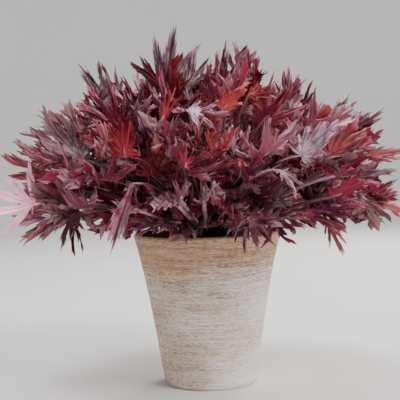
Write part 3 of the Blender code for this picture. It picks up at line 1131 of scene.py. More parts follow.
SPECIMENS = (
    Specimen("spire", SILVER, (-0.046, -0.020, 0.331), (0.24, -0.10, 0.96), (0.15, -1.0, 0.0), 0.083,
             node="top_leaf_01", pattern="spire", breadth=1.25, cup=0.3, bend=0.1, warmth=0.3, shade=0.35),
    Specimen("brick_fan", RED, (-0.079, -0.160, 0.264), (-0.12, -0.25, 1.0), (0.10, 1.0, 0.25), 0.042,
             node="upper_leaf_17", pattern="fan", breadth=0.55, cup=1.0, frill=0.1, warmth=0.62,
             shade=0.3),
    Specimen("lilac_fan", SILVER, (0.094, -0.150, 0.259), (0.72, -0.20, 0.66), (-0.45, -0.75, 0.45),
             0.051, node="middle_leaf_03", pattern="fan", breadth=0.6, cup=0.7, frill=0.12, warmth=0.12,
             shade=0.65),
    Specimen("pale_star", SILVER, (-0.016, -0.155, 0.307), (0.67, -0.62, -0.40), (0.25, -0.45, 0.85),
             0.042, node="upper_leaf_12", pattern="ragged", cup=0.4, shade=0.65),
    Specimen("pink_hand", PINK, (-0.187, -0.07, 0.2133), (-0.93, -0.20, 0.36), (0.1, -1.0, 0.3), 0.062,
             node="middle_leaf_17", pattern="hand", cup=0.4, ruffle=0.02, curl=0.1, frill=0.03,
             warmth=0.3, shade=1.0),
    Specimen("withered_curl", WITHERED, (0.161, -0.085, 0.2225), (0.36, -0.31, -0.88), (0.5, -0.8, 0.3),
             0.042, node="middle_leaf_18", pattern="spire", breadth=0.42, cup=2.8, bend=0.8, ruffle=0.2,
             curl=0.8, frill=0.25, warmth=0.2, shade=1.0),
    Specimen("left_reach_upper", BURGUNDY, (-0.170, -0.020, 0.259), (-0.93, 0.00, 0.36), (0.3, -0.6, 0.8),
             0.052, pattern="spire"),
    Specimen("left_reach_lower", RED, (-0.163, -0.040, 0.245), (-0.97, 0.00, 0.22), (0.2, -0.5, 0.85),
             0.067, pattern="spire", breadth=0.9, cup=0.9, warmth=0.45, shade=0.4),
    Specimen("crimson_peak", RED, (0.046, -0.050, 0.327), (0.24, -0.02, 0.97), (0.3, -0.9, 0.1), 0.055,
             node="top_leaf_07", pattern="spire", breadth=0.9, warmth=0.3, shade=0.2),
    Specimen("left_peak", SILVER, (-0.104, -0.040, 0.317), (-0.47, -0.17, 0.87), (0.3, -0.9, 0.2), 0.062,
             node="upper_leaf_01", pattern="spire", breadth=0.9, warmth=0.3, shade=0.3),
    Specimen("left_peak_inner", BURGUNDY, (-0.094, -0.030, 0.326), (-0.39, -0.05, 0.92), (0.3, -0.9, 0.2),
             0.046, pattern="spire", breadth=0.8),
    Specimen("diagonal_peak", RED, (-0.045, -0.030, 0.337), (-0.65, -0.21, 0.73), (0.3, -0.9, 0.2), 0.05,
             pattern="spire", breadth=0.6, warmth=0.3, shade=0.1),
    Specimen("crimson_star", RED, (0.0055, -0.128, 0.3165), (-0.05, -0.15, 1.0), (0.05, -1.0, 0.1), 0.028,
             pattern="narrow", cup=0.3, warmth=0.3, shade=0.0),
    Specimen("mid_peak", BURGUNDY, (0.021, -0.030, 0.334), (0.0, -0.05, 1.0), (-0.2, -0.95, 0.1), 0.054,
             pattern="spire", breadth=0.9),
    Specimen("mid_peak_silver", SILVER, (-0.019, -0.050, 0.334), (0.37, -0.05, 0.93), (0.1, -0.95, 0.2),
             0.054, pattern="spire", breadth=0.8),
    Specimen("right_peak", SILVER, (0.097, -0.030, 0.307), (-0.16, -0.05, 0.99), (-0.3, -0.9, 0.2), 0.052,
             pattern="spire", breadth=0.9),
    Specimen("right_peak_middle", BURGUNDY, (0.108, -0.030, 0.305), (0.27, -0.05, 0.96),
             (-0.3, -0.9, 0.2), 0.041, pattern="spire", breadth=0.8),
    Specimen("right_peak_low", SILVER, (0.130, -0.030, 0.286), (0.64, -0.05, 0.77), (-0.5, -0.8, 0.3),
             0.052, pattern="spire", breadth=0.8),
    Specimen("right_peak_far", BURGUNDY, (0.157, -0.030, 0.274), (0.74, -0.05, 0.68), (-0.5, -0.8, 0.3),
             0.056, pattern="spire", breadth=0.9),
    Specimen("bundle_one", BURGUNDY, (0.1228, -0.13, 0.2417), (0.93, -0.25, 0.27), (0.0, 0.8, 0.6), 0.040,
             pattern="fan", breadth=0.4, stalk_radius=0.0020, warmth=0.6, shade=0.2, droop=0.2),
    Specimen("bundle_two", BURGUNDY, (0.1292, -0.132, 0.2079), (0.92, -0.38, 0.08), (0.1, 0.7, 0.7),
             0.034, pattern="narrow", breadth=0.7, stalk_radius=0.0020, warmth=0.2, droop=0.2),
    Specimen("bundle_three", WINE, (0.1179, -0.14, 0.203), (0.92, -0.38, -0.08), (0.1, 0.6, 0.7), 0.034,
             pattern="ragged", breadth=0.7, stalk_radius=0.0019, warmth=0.2, droop=0.2),
    Specimen("bundle_four", BURGUNDY, (0.1234, -0.142, 0.2369), (0.90, -0.15, 0.35), (-0.2, 0.7, 0.6),
             0.044, breadth=0.5, stalk_radius=0.0019, warmth=0.2, droop=0.3),
    Specimen("orange_fan", RED, (0.018, -0.14, 0.3075), (0.66, -0.30, 0.69), (-0.4, 0.85, 0.35), 0.037,
             pattern="fan", breadth=0.5, cup=0.8, warmth=0.80, shade=0.9),
    Specimen("orange_point", RED, (0.0465, -0.105, 0.323), (0.95, -0.25, 0.10), (0.1, 0.85, -0.35), 0.032,
             pattern="narrow", breadth=0.8, warmth=0.75, shade=0.7),
    Specimen("orange_tongue", RED, (-0.0437, -0.14, 0.2955), (0.42, -0.05, 0.91), (0.2, 0.9, 0.2), 0.040,
             pattern="spire", breadth=0.6, cup=0.9, warmth=0.6, shade=0.8),
    Specimen("red_cup", RED, (-0.020, -0.185, 0.251), (0.10, -0.20, 1.0), (0.0, 0.35, 0.9), 0.027,
             pattern="narrow", breadth=0.9, cup=2.6, warmth=0.45, shade=0.5),
    Specimen("dark_drop", WINE, (-0.139, -0.120, 0.203), (-0.05, -0.13, -0.99), (-0.3, -1.0, 0.1), 0.044,
             pattern="ragged", breadth=0.7, cup=1.8, bend=0.4, warmth=0.9, shade=0.35),
    Specimen("mauve_finger", BURGUNDY, (-0.139, -0.090, 0.213), (-0.90, -0.33, -0.25), (0.1, -0.7, 0.7),
             0.062, pattern="spire", breadth=0.6, cup=0.9, bend=0.5, warmth=0.35, shade=0.6),
    Specimen("purple_lance", BURGUNDY, (-0.072, -0.160, 0.236), (-0.36, -0.07, -0.93), (-0.2, -1.0, 0.0),
             0.072, pattern="lance", cup=1.0, bend=-0.3, warmth=0.4, shade=0.6),
    Specimen("coral_drop", RED, (0.123, -0.120, 0.192), (0.30, -0.26, -0.92), (0.3, -0.9, 0.2), 0.041,
             pattern="narrow", breadth=0.55, warmth=0.62, shade=0.8),
    Specimen("crimson_reach", RED, (0.100, -0.130, 0.200), (0.87, -0.35, -0.25), (0.1, -0.6, 0.8), 0.050,
             pattern="ragged", breadth=0.6, warmth=0.35, shade=0.3),
    Specimen("red_under", RED, (0.118, -0.120, 0.202), (0.86, -0.20, -0.47), (0.1, -0.7, 0.7), 0.034,
             pattern="ragged", breadth=0.7, warmth=0.3, shade=0.1, droop=0.3),
    Specimen("dark_under", WINE, (0.108, -0.110, 0.212), (0.95, -0.20, 0.05), (0.0, -0.6, 0.8), 0.05,
             pattern="ragged", breadth=0.8, droop=0.3),
    Specimen("dark_under_low", WINE, (0.100, -0.118, 0.202), (0.93, -0.25, -0.20), (0.0, -0.6, 0.8),
             0.048, breadth=0.7, droop=0.3),
    Specimen("mauve_drape", BURGUNDY, (0.0436, -0.118, 0.1935), (0.19, -0.2, -0.96), (0.05, -1.0, 0.35),
             0.038, pattern="frilled", breadth=0.85, cup=1.3, bend=0.3, ruffle=0.15, curl=0.8, frill=0.22,
             warmth=0.5, shade=0.5),
    Specimen("mauve_drape_over", BURGUNDY, (0.0667, -0.112, 0.1965), (0.4, -0.25, -0.88),
             (0.25, -0.9, 0.35), 0.035, pattern="frilled", breadth=0.9, cup=1.2, ruffle=0.10, curl=0.8,
             frill=0.25, warmth=0.55, shade=0.45),
    Specimen("mauve_drape_small", BURGUNDY, (0.0313, -0.118, 0.196), (-0.2, -0.17, -0.97),
             (-0.1, -1.0, 0.2), 0.024, pattern="frilled", breadth=0.8, cup=1.4, curl=0.5, frill=0.2,
             warmth=0.35, shade=0.5),
    Specimen("fork_left", SILVER, (-0.0314, -0.148, 0.2152), (-0.85, -0.51, -0.05), (0.0, -0.5, 0.85),
             0.03, pattern="frilled", breadth=0.7, cup=1.8, frill=0.2, stalk_radius=0.0024, warmth=0.5,
             shade=0.45, droop=0.2),
    Specimen("fork_up", SILVER, (-0.0274, -0.148, 0.2192), (0.40, -0.46, 0.75), (-0.3, 0.3, 0.9), 0.025,
             pattern="frilled", breadth=0.8, cup=2.0, frill=0.2, stalk_radius=0.0022, warmth=0.5,
             shade=0.45, droop=0.2),
    Specimen("fork_mid", SILVER, (-0.0031, -0.148, 0.2182), (0.79, -0.41, 0.46), (-0.3, -0.3, 0.9), 0.027,
             pattern="frilled", breadth=0.8, cup=1.8, frill=0.2, stalk_radius=0.0022, warmth=0.5,
             shade=0.4, droop=0.2),
    Specimen("rim_fork", BURGUNDY, (-0.0713, -0.145, 0.2096), (-0.82, -0.55, -0.10), (0.0, -0.5, 0.85),
             0.03, pattern="frilled", breadth=0.7, cup=1.5, stalk_radius=0.002, droop=0.2),
    Specimen("rim_shadow_left", WINE, (-0.0509, -0.115, 0.1915), (-0.75, -0.3, -0.05), (0.0, -0.6, 0.8),
             0.036, pattern="ragged", breadth=0.8, cup=1.2, droop=0.3),
    Specimen("rim_shadow_front", WINE, (-0.0365, -0.11, 0.1945), (-0.3, -0.6, -0.35), (0.0, -0.7, 0.7),
             0.03, pattern="narrow", breadth=0.9, cup=1.0, droop=0.3),
    Specimen("silver_point", SILVER, (0.071, -0.175, 0.245), (0.61, -0.48, -0.60), (0.2, -0.5, 0.85),
             0.033, pattern="narrow", breadth=0.7, shade=0.6),
    Specimen("coral_wing", RED, (0.131, -0.085, 0.259), (0.85, -0.10, 0.52), (-0.3, -0.8, 0.5), 0.055,
             pattern="fan", breadth=0.6, frill=0.12, warmth=0.55, shade=0.75),
    Specimen("coral_tip", RED, (0.176, -0.060, 0.256), (0.98, 0.00, 0.08), (0.0, -0.8, 0.6), 0.046,
             pattern="spire", breadth=0.9, warmth=0.55, shade=0.8),
    Specimen("crimson_mass", RED, (0.1266, -0.135, 0.2165), (0.91, -0.10, 0.41), (-0.3, 0.8, 0.6), 0.050,
             pattern="fan", breadth=0.42, cup=1.0, stalk_radius=0.0019, warmth=0.25, shade=0.35,
             droop=0.2),
    Specimen("red_fan_right", RED, (0.179, -0.055, 0.213), (0.87, -0.15, 0.47), (0.0, -0.9, 0.4), 0.036,
             pattern="frilled", warmth=0.35, shade=0.2),
    Specimen("brown_shred_left", WITHERED, (-0.008, -0.092, 0.185), (0.1, -0.5, -0.85), (-0.4, -0.8, 0.3),
             0.014, pattern="narrow", breadth=0.4, cup=2.5, curl=0.8, stalk_radius=0.0008),
    Specimen("brown_shred_right", WITHERED, (0.034, -0.094, 0.185), (-0.5, -0.45, -0.75),
             (0.4, -0.8, 0.3), 0.019, pattern="narrow", breadth=0.5, cup=2.5, curl=0.8,
             stalk_radius=0.0008),
)


@dataclass
class Plant:
    """The heuchera: a full leaf for each leaf of the frame, and the leaves between them."""

    seed: int = 41
    specimen_seeds: int = 300
    zone_seeds: int = 500
    blade_share: float = 0.28
    blade_from: float = 0.68
    most_fullness: float = 1.03
    stalk_sink: float = 0.0015
    # In front, low outer leaves are lifted so that the rim shows: degrees.
    front_half_width: float = 52.0
    front_lowest: float = 34.0
    front_lift: float = 14.0
    patterns: dict[str, LeafPattern] = field(default_factory=leaf_patterns)

    def __post_init__(self) -> None:
        """Read the crown's place from the frame and cut the leaf patterns."""
        low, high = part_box("crown")
        crown_radius = (high[0] - low[0]) / 2.0
        self.foot = crown_radius - self.stalk_sink
        centre = np.array([0.0, 0.0, high[2] - crown_radius])
        self.growth = Growth(centre)
        self.record = {s["node"]: s["material_slot"] for s in frame["record"]["subparts"]}
        for pattern in self.patterns.values():
            pattern.build()

    def common_pattern(self, draw: np.random.RandomState) -> LeafPattern:
        """One of the patterns that most leaves are made from."""
        return self.patterns[COMMON_PATTERNS[draw.randint(len(COMMON_PATTERNS))]]

    def leaf_nodes(self) -> list[str]:
        """The frame's leaf nodes, in a fixed order."""
        return sorted(name for name in frame["nodes"] if "_leaf_" in name)

    def pose_of(self, node: str, draw: np.random.RandomState) -> Pose:
        """Read how a leaf of the frame stands.

        Args:
            node: The leaf's node.
            draw: The source of this leaf's own irregularities.

        Returns:
            The pose of the full leaf that takes its place.
        """
        points = places(frame["nodes"][node]) - self.growth.centre
        distance = np.linalg.norm(points, axis=1)
        tip = points[np.argmax(distance)]
        reach = float(distance.max())
        azimuth = math.atan2(tip[1], tip[0])
        launch = self.growth.launch_of(math.asin(tip[2] / reach), reach)
        blade = points[distance > reach * self.blade_from]
        reach *= min(self.most_fullness, self.growth.fullness(azimuth, math.asin(tip[2] / reach)))
        tip = tip / np.linalg.norm(tip) * reach
        neck = reach * (1.0 - self.blade_share)
        spine = self.growth.point(azimuth, launch, neck) - self.growth.centre
        forward = (tip - spine) / np.linalg.norm(tip - spine)
        offsets = blade - spine
        offsets = offsets - np.outer(offsets @ forward, forward)
        across = np.linalg.svd(offsets, full_matrices=False)[2][0]
        normal = np.cross(forward, across)
        if normal @ np.cross(forward, level_across(azimuth)) < 0:
            normal = -normal
        return Pose(
            azimuth=azimuth,
            launch=launch,
            foot=self.foot,
            neck=neck,
            size=(reach - neck) * draw.uniform(0.98, 1.08),
            breadth=draw.uniform(0.75, 1.05),
            nod=draw.uniform(-0.25, 0.30),
            swing=draw.uniform(-0.2, 0.2),
            cup=draw.uniform(0.4, 1.9),
            bend=draw.uniform(-0.3, 0.4),
            ruffle=draw.uniform(0.04, 0.09),
            curl=draw.uniform(0.15, 0.45),
            frill=draw.uniform(0.07, 0.15),
            normal=normal,
        )

    def pose_at(self, specimen: Specimen) -> Pose:
        """The pose of a listed leaf."""
        offset = np.array(specimen.neck) - self.growth.centre
        distance = float(np.linalg.norm(offset))
        rise = math.asin(offset[2] / distance)
        return Pose(
            azimuth=math.atan2(offset[1], offset[0]),
            launch=self.growth.launch_of(rise, distance, specimen.droop),
            foot=self.foot,
            neck=distance,
            forward=np.array(specimen.way),
            normal=np.array(specimen.face),
            **{name: getattr(specimen, name) for name in SHARED_WITH_POSE},
        )

    def grow_frame_leaves(self) -> None:
        """A full leaf for each leaf node of the frame."""
        by_node = {specimen.node: specimen for specimen in SPECIMENS if specimen.node}
        for index, node in enumerate(self.leaf_nodes()):
            draw = np.random.RandomState(self.seed + index)
            slot = self.record[node]
            pose = self.pose_of(node, draw)
            pattern = self.common_pattern(draw)
            if node in by_node:
                pose = self.pose_at(by_node[node])
                pattern = self.patterns[by_node[node].pattern]
            leaf = Leaf(pattern, self.growth, pose, LeafKind.of_slot(slot))
            piece = leaf.build(node + "_full", draw)
            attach(piece, BODY)
            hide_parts(node)
        log.info("leaves in the frame's places: %d", len(self.leaf_nodes()))

    def grow_specimens(self) -> None:
        """The listed leaves that stand between the frame's leaves."""
        by_kind: dict[LeafKind, list[bpy.types.Object]] = {}
        for index, specimen in enumerate(SPECIMENS):
            if specimen.node:
                continue
            draw = np.random.RandomState(self.seed + self.specimen_seeds + index)
            pattern = self.patterns[specimen.pattern]
            leaf = Leaf(pattern, self.growth, self.pose_at(specimen), specimen.kind)
            by_kind.setdefault(specimen.kind, []).append(leaf.build(specimen.name, draw))
        for kind, leaves in by_kind.items():
            piece = join(leaves, "placed_" + kind.value.slot)
            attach(piece, BODY)

    def zone_pose(self, zone: Zone, share: float, draw: np.random.RandomState) -> Pose:
        """A pose for a leaf that fills a zone.

        Args:
            zone: The zone.
            share: 0 for the zone's lowest leaf to 1 for its highest one.
            draw: The source of this leaf's own irregularities.

        Returns:
            The pose.
        """
        low, high = (math.sin(math.radians(limit)) for limit in zone.launch)
        launch = math.asin(low + (high - low) * share)
        azimuth = math.radians(zone.middle + zone.half_width * draw.uniform(-1.0, 1.0))
        aside = abs((azimuth + math.pi / 2.0 + math.pi) % math.tau - math.pi)
        front = aside < math.radians(self.front_half_width)
        if front and zone.name == "outer" and launch < math.radians(self.front_lowest):
            launch += math.radians(self.front_lift)
        size = draw.uniform(*zone.size)
        return Pose(
            azimuth=azimuth,
            launch=launch,
            foot=self.foot,
            neck=draw.uniform(*zone.reach) * self.growth.fullness(azimuth, launch) - size,
            size=size,
            breadth=draw.uniform(0.55, 0.95),
            roll=draw.uniform(-1.1, 1.1),
            nod=draw.uniform(*zone.nod),
            swing=draw.uniform(-0.5, 0.5),
            cup=draw.uniform(0.4, 2.2),
            bend=draw.uniform(-0.5, 0.7),
            ruffle=draw.uniform(0.05, 0.12),
            curl=draw.uniform(0.2, 0.5),
            frill=draw.uniform(0.08, 0.17),
            stalk_radius=0.0010,
        )

    def fill_zone(self, zone: Zone, seed: int) -> None:
        """Fill a zone with leaves, joined in one piece for each kind of its list."""
        draw = np.random.RandomState(seed)
        order = draw.permutation(zone.count)
        kinds = len(zone.kinds)
        for group, kind in enumerate(zone.kinds):
            leaves = []
            for index in order[group::kinds]:
                pose = self.zone_pose(zone, (index + 0.5) / zone.count, draw)
                pattern = self.patterns["plain"] if zone.plain else self.common_pattern(draw)
                leaf = Leaf(pattern, self.growth, pose, kind)
                leaves.append(leaf.build(f"{zone.name}_{index:03d}", draw))
            piece = join(leaves, f"{zone.name}_{kind.value.slot}_{group + 1}")
            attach(piece, BODY)
        log.info("zone %s: %d leaves in %d pieces", zone.name, zone.count, kinds)

    def clear_patterns(self) -> None:
        """Remove the flat patterns once every leaf is made."""
        for pattern in self.patterns.values():
            bpy.data.objects.remove(pattern.sheet, do_unlink=True)

    def build(self) -> None:
        """Grow the whole plant."""
        self.grow_frame_leaves()
        self.grow_specimens()
        for index, zone in enumerate(ZONES):
            self.fill_zone(zone, self.seed + self.zone_seeds + index)
        self.clear_patterns()


# ---------------------------------------------------------------------------------------------
# The pot
# ---------------------------------------------------------------------------------------------


@dataclass(frozen=True)
class WhitewashFinish:
    """Thin brushed whitewash on fired clay: short streaks run round the pot over warm bands."""

    clay: Colour = (0.55, 0.31, 0.16)
    clay_dark: Colour = (0.27, 0.165, 0.095)
    buff: Colour = (0.57, 0.44, 0.34)
    wash: Colour = (0.85, 0.715, 0.62)
    wash_cool_and_lit: Colour = (0.90, 0.85, 0.87)

    def material(self, height: float) -> bpy.types.Material:
        """Build the pot's material for a pot of a height."""
        material, nodes = new_material("whitewashed_terracotta_finish")
        streak = nodes.stretched((22.0, 22.0, 480.0), 4.0, 0.65)
        dash = nodes.stretched((190.0, 190.0, 950.0), 4.0, 0.65)
        band = nodes.stretched((3.0, 3.0, 60.0), 2.0, 0.5)
        patch = nodes.stretched((16.0, 16.0, 26.0), 4.0, 0.6)
        speck = nodes.stretched((520.0, 520.0, 900.0), 3.0, 0.6)
        place = nodes.add("ShaderNodeTexCoord").outputs["Object"]
        axes = nodes.add("ShaderNodeSeparateXYZ", {0: place}).outputs
        share = nodes.math("DIVIDE", axes["Z"], height)
        lines = nodes.math("MULTIPLY_ADD", streak, 0.6, nodes.math("MULTIPLY", dash, 0.9))
        upper = nodes.step(share, 0.62, 0.92)
        lower = nodes.step(share, 0.28, 0.02)
        parts = [(patch, 0.7), (band, 0.45), (speck, 0.7)]
        # Towards +X, the right side, the wash is thicker: partly the wash's own spread, partly painted
        # light from the right.
        parts += [(upper, -0.60), (lower, 0.14), (axes["X"], 2.0)]
        amount = nodes.math("MULTIPLY", lines, 1.5)
        for part, weight in parts:
            amount = nodes.math("MULTIPLY_ADD", part, weight, amount)
        warm = nodes.math("MULTIPLY_ADD", upper, 0.65, nodes.step(band, 0.42, 0.66), clamp=True)
        ground = nodes.mix(warm, self.buff, self.clay)
        ground = nodes.mix(nodes.step(lines, 0.86, 0.62), ground, self.clay_dark)
        # Whiter, cooler wash towards the right side: partly the wash's own colour, partly painted light.
        cool_and_lit_side = nodes.math("MULTIPLY_ADD", axes["X"], 2.5, patch)
        wash = nodes.mix(nodes.step(cool_and_lit_side, 0.40, 0.65), self.wash, self.wash_cool_and_lit)
        cover = nodes.math("MULTIPLY", nodes.step(amount, 1.44, 2.54), 0.9)
        colour = nodes.mix(cover, ground, wash)
        grit = Blister().place(nodes, Scale=1500.0, Fine_Scale=4200.0, Fine_Share=0.6).outputs[0]
        relief = nodes.math("MULTIPLY_ADD", lines, 1.0, nodes.math("MULTIPLY", grit, 0.4))
        nodes.surface(colour, nodes.scaled(cover, 0.78, 0.92), bumped(nodes, relief, 0.0006, 0.7))
        return material


@dataclass
class Pot:
    """The turned pot: its wall pushed up ring by ring, with fine turning ridges."""

    sides: int = 144
    ring_step: float = 0.0012
    ridge: float = 0.00016
    flare_share: float = 0.22
    flare_power: int = 3
    foot_radius: float = 0.0535
    foot_round: float = 0.0035
    rim_wall: float = 0.0065
    foot_wall: float = 0.0090
    floor: float = 0.0110
    drain_radius: float = 0.0090
    wall_start: float = 0.006
    foot_steps: int = 4
    lip_steps: int = 8
    inside_steps: int = 14
    seed: int = 7
    spare: float = 0.0004
    finish: WhitewashFinish = field(default_factory=WhitewashFinish)

    def __post_init__(self) -> None:
        """Read the pot's outer size from the frame."""
        low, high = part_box("pot")
        self.height = high[2] - low[2]
        self.rim_radius = (high[0] - low[0] + high[1] - low[1]) / 4.0 + self.spare

    def outer(self, z: float) -> float:
        """Outer radius at a height."""
        t = z / self.height
        growth = (1.0 - self.flare_share) * t + self.flare_share * t**self.flare_power
        return self.foot_radius + (self.rim_radius - self.foot_radius) * growth

    def inner(self, z: float) -> float:
        """Inner radius at a height."""
        t = z / self.height
        return self.outer(z) - (self.foot_wall + (self.rim_wall - self.foot_wall) * t)

    def profile(self) -> list[tuple[float, float]]:
        """The pot's cut from the drain hole's lower edge, up the outside and down the inside."""
        draw = np.random.RandomState(self.seed)
        lip = self.rim_wall / 2.0
        lip_z = self.height - lip
        points = [(self.drain_radius, 0.0)]
        for step in range(self.foot_steps + 1):
            a = math.radians(-90.0 + 78.0 * step / self.foot_steps)
            centre = self.foot_radius - self.foot_round
            spot = (centre + self.foot_round * math.cos(a), self.foot_round * (1.0 + math.sin(a)))
            points.append(spot)
        rings = int((lip_z - self.wall_start) / self.ring_step)
        for step in range(rings + 1):
            z = self.wall_start + (lip_z - self.wall_start) * step / rings
            ridge = self.ridge * (draw.uniform(-1.0, 1.0) + 0.6 * math.sin(z * 900.0))
            points.append((self.outer(z) - abs(ridge), z))
        for step in range(1, self.lip_steps):
            a = math.radians(20.0 + 140.0 * step / self.lip_steps)
            centre = self.outer(lip_z) - lip
            points.append((centre + lip * math.cos(a), lip_z + lip * math.sin(a)))
        for step in range(self.inside_steps + 1):
            z = lip_z + (self.floor - lip_z) * step / self.inside_steps
            points.append((self.inner(z), z))
        points.append((self.drain_radius, self.floor))
        return points

    def build(self) -> None:
        """Make the pot and put it in place of the frame's one."""
        profile = self.profile()
        start = profile[0]
        pot = level_circle(self.sides, start[0], start[1], "NOTHING")
        with editing(pot):
            draw_rings(profile, bpy.ops.mesh.extrude_region_move)
            extrude(0.0, 0.0, start[1] - profile[-1][1])
        turn_outward(pot)
        dress(pot, "pot_turned", 40.0, self.finish.material(self.height))
        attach(pot, BODY)
        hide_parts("pot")
        log.info("pot: %d faces", len(pot.data.polygons))


@dataclass
class PottingMix:
    """The potting mix: a crumbly mound with bits of bark on it."""

    sides: int = 96
    rings: int = 18
    crumb: float = 0.0011
    depth: float = 0.03
    narrowing: float = 0.93
    mound: float = 0.0014
    clearance: float = 0.0004
    sunk: float = 0.0016
    top_layer: float = 0.004
    seed: int = 11

    def material(self) -> bpy.types.Material:
        """Build the mix's material."""
        material, nodes = new_material("potting_mix_finish")
        patch = Mottle().place(nodes, Scale=240.0, Low=0.35, High=0.65).outputs[0]
        bits = Mottle().place(nodes, Scale=900.0, Low=0.62, High=0.70, Shift=0.3).outputs[0]
        colour = nodes.mix(patch, (0.018, 0.012, 0.009), (0.055, 0.036, 0.024))
        colour = nodes.mix(nodes.math("MULTIPLY", bits, 0.6), colour, (0.16, 0.11, 0.07))
        height = Blister().place(nodes, Scale=520.0, Fine_Scale=1800.0, Fine_Share=0.8).outputs[0]
        nodes.surface(colour, nodes.scaled(patch, 0.85, 1.0), bumped(nodes, height, 0.002, 0.8))
        return material

    def build(self) -> None:
        """Make the mix inside the frame's plug."""
        low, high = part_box("potting_mix")
        radius = (high[0] - low[0]) / 2.0 - self.clearance
        top = high[2] - self.crumb
        mix = level_circle(self.sides, radius, top - self.sunk)
        with editing(mix):
            for _ in range(self.rings):
                bpy.ops.mesh.inset(thickness=radius / (self.rings + 1.5), depth=0.0)
            bpy.ops.mesh.select_all(action="SELECT")
            extrude(0.0, 0.0, -self.depth)
        turn_outward(mix)
        points = places(mix)
        draw = np.random.RandomState(self.seed)
        upper = points[:, 2] > top - self.top_layer
        away = np.hypot(points[:, 0], points[:, 1]) / radius
        lift = draw.uniform(-1.0, 1.0, len(points)) * self.crumb + self.mound * (1.0 - away**2)
        points[upper, 2] += lift[upper]
        points[~upper, :2] *= self.narrowing
        move_to(mix, points)
        dress(mix, "potting_mix_crumbs", 60.0, self.material())
        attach(mix, BODY)
        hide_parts("potting_mix")
        log.info("potting mix: %d faces", len(mix.data.polygons))


@dataclass
class Crown:
    """The woody crown that the stalks grow from, with scars of old leaves."""

    scar: float = 0.0011
    clearance: float = 0.0002
    flat_foot: float = 0.001

    def material(self) -> bpy.types.Material:
        """Build the crown's bark."""
        material, nodes = new_material("crown_bark_finish")
        patch = Mottle().place(nodes, Scale=200.0, Low=0.35, High=0.65).outputs[0]
        colour = nodes.mix(patch, (0.045, 0.018, 0.013), (0.15, 0.075, 0.05))
        height = Blister().place(nodes, Scale=420.0, Fine_Scale=1500.0, Fine_Share=0.6).outputs[0]
        nodes.surface(colour, nodes.scaled(patch, 0.75, 0.95), bumped(nodes, height, 0.0015, 0.8))
        return material

    def build(self) -> None:
        """Make the crown inside the frame's knob."""
        low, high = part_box("crown")
        radius = (high[0] - low[0]) / 2.0
        centre = high[2] - radius
        deselect_all()
        bpy.ops.mesh.primitive_uv_sphere_add(
            segments=48, ring_count=28, radius=radius - self.scar, location=(0.0, 0.0, centre)
        )
        knob = bpy.context.object
        settle(knob)
        cut = (0.0, 0.0, low[2] + self.clearance)
        up = (0.0, 0.0, 1.0)
        with editing(knob):
            bpy.ops.mesh.bisect(plane_co=cut, plane_no=up, use_fill=True, clear_inner=True)
        turn_outward(knob)
        points = places(knob)
        offsets = points - np.array([0.0, 0.0, centre])
        angle = np.arctan2(offsets[:, 1], offsets[:, 0])
        height = offsets[:, 2] / radius
        bumps = np.sin(9.0 * angle + 14.0 * height) * np.sin(22.0 * height)
        upper = points[:, 2] > low[2] + self.flat_foot
        points[upper] += offsets[upper] / radius * (bumps[upper] * self.scar)[:, None]
        move_to(knob, points)
        dress(knob, "crown_knob", 50.0, self.material())
        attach(knob, BODY)
        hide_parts("crown")
        log.info("crown: %d faces", len(knob.data.polygons))


# ---------------------------------------------------------------------------------------------
# The studio
# ---------------------------------------------------------------------------------------------


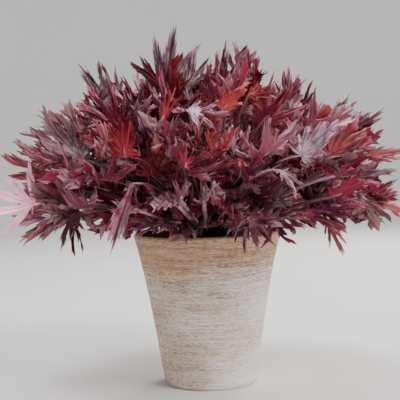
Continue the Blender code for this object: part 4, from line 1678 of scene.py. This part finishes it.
@dataclass
class Studio:
    """A pale floor that curves up into a backdrop, soft lights and the viewer's camera."""

    distance: float = 1.05
    eye_height: float = 0.263
    aside: float = -0.007
    look_down: float = 2.88
    camera_roll: float = -0.028
    lens: float = 81.9
    wall_distance: float = 3.0
    aim_height: float = 0.22
    sky_colour: Colour = (0.90, 0.94, 1.0)
    sky_strength: float = 0.36
    floor_colour: Colour = (0.74, 0.73, 0.72)
    floor_bend: float = 0.8

    # Name, place, size, power and tone of each light.
    LIGHTS = (
        ("key_light", (1.3, -1.0, 1.6), 0.9, 50.0, (1.0, 0.98, 0.96)),
        ("top_light", (-0.4, 0.1, 2.1), 1.0, 34.0, (0.97, 0.98, 1.0)),
        ("back_light", (0.7, 1.5, 1.2), 0.9, 30.0, (1.0, 0.97, 0.93)),
    )

    def floor(self) -> None:
        """The floor and the backdrop round it, in one sheet: a disc that curves up at its edge."""
        bend = self.floor_bend
        flat = self.wall_distance - bend
        arc = [math.radians(90.0 * step / 12) for step in range(1, 13)]
        profile = [(0.3, 0.0), (1.2, 0.0), (flat, 0.0)]
        profile += [(flat + bend * math.sin(a), bend * (1.0 - math.cos(a))) for a in arc]
        profile += [(self.wall_distance, 2.0)]
        sheet = level_circle(96, profile[0][0])
        sheet.name = "studio_floor"
        with editing(sheet):
            bpy.ops.mesh.normals_make_consistent(inside=False)
            bpy.ops.mesh.select_mode(type="EDGE")
            bpy.ops.mesh.region_to_loop()
            draw_rings(profile, bpy.ops.mesh.extrude_edges_move)
        smooth(sheet, 60.0)
        material, nodes = new_material("studio_paper")
        patch = Mottle().place(nodes, Scale=3.0, Low=0.2, High=0.8).outputs[0]
        darker = tuple(c * 0.97 for c in self.floor_colour)
        colour = nodes.mix(patch, self.floor_colour, darker)
        shader = nodes.add("ShaderNodeBsdfPrincipled", {"Base Color": colour, "Roughness": 0.9})
        nodes.add("ShaderNodeOutputMaterial", {"Surface": shader.outputs[0]})
        sheet.data.materials.append(material)

    def light(self, name: str, place: Place, size: float, power: float, tone: Colour) -> None:
        """A soft square light that faces the plant."""
        lamp = bpy.data.lights.new(name, "AREA")
        lamp.shape = "SQUARE"
        lamp.size = size
        lamp.energy = power
        lamp.color = tone
        holder = bpy.data.objects.new(name, lamp)
        holder.location = place
        aim = Vector((0.0, 0.0, self.aim_height)) - Vector(place)
        holder.rotation_euler = aim.to_track_quat("-Z", "Y").to_euler()
        bpy.context.collection.objects.link(holder)

    def sky(self) -> None:
        """Even pale light from all round."""
        world = bpy.data.worlds.new("soft_sky")
        bpy.context.scene.world = world
        world.use_nodes = True
        background = world.node_tree.nodes["Background"]
        background.inputs["Color"].default_value = (*self.sky_colour, 1.0)
        background.inputs["Strength"].default_value = self.sky_strength

    def camera(self) -> None:
        """The viewer's camera."""
        data = bpy.data.cameras.new("viewer")
        data.lens = self.lens
        data.sensor_width = 36.0
        viewer = bpy.data.objects.new("viewer", data)
        viewer.location = (self.aside, -self.distance, self.eye_height)
        tilt = Euler((math.radians(90.0 - self.look_down), 0.0, 0.0)).to_matrix()
        viewer.rotation_euler = (tilt @ Matrix.Rotation(self.camera_roll, 3, "Z")).to_euler()
        bpy.context.collection.objects.link(viewer)
        bpy.context.scene.camera = viewer

    def build(self) -> None:
        """Set up the whole studio."""
        self.camera()
        self.floor()
        self.sky()
        for row in self.LIGHTS:
            self.light(*row)
        log.info("studio: camera %.3f m away", self.distance)


def main() -> None:
    """Build everything in order."""
    logging.basicConfig(level=logging.INFO, format="%(name)s: %(message)s")
    Studio().build()
    Pot().build()
    PottingMix().build()
    Crown().build()
    Plant().build()
    faces = sum(len(item.data.polygons) for item in bpy.data.objects if item.type == "MESH")
    log.info("faces in all: %d", faces)
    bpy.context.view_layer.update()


if __name__ == "__main__":
    main()
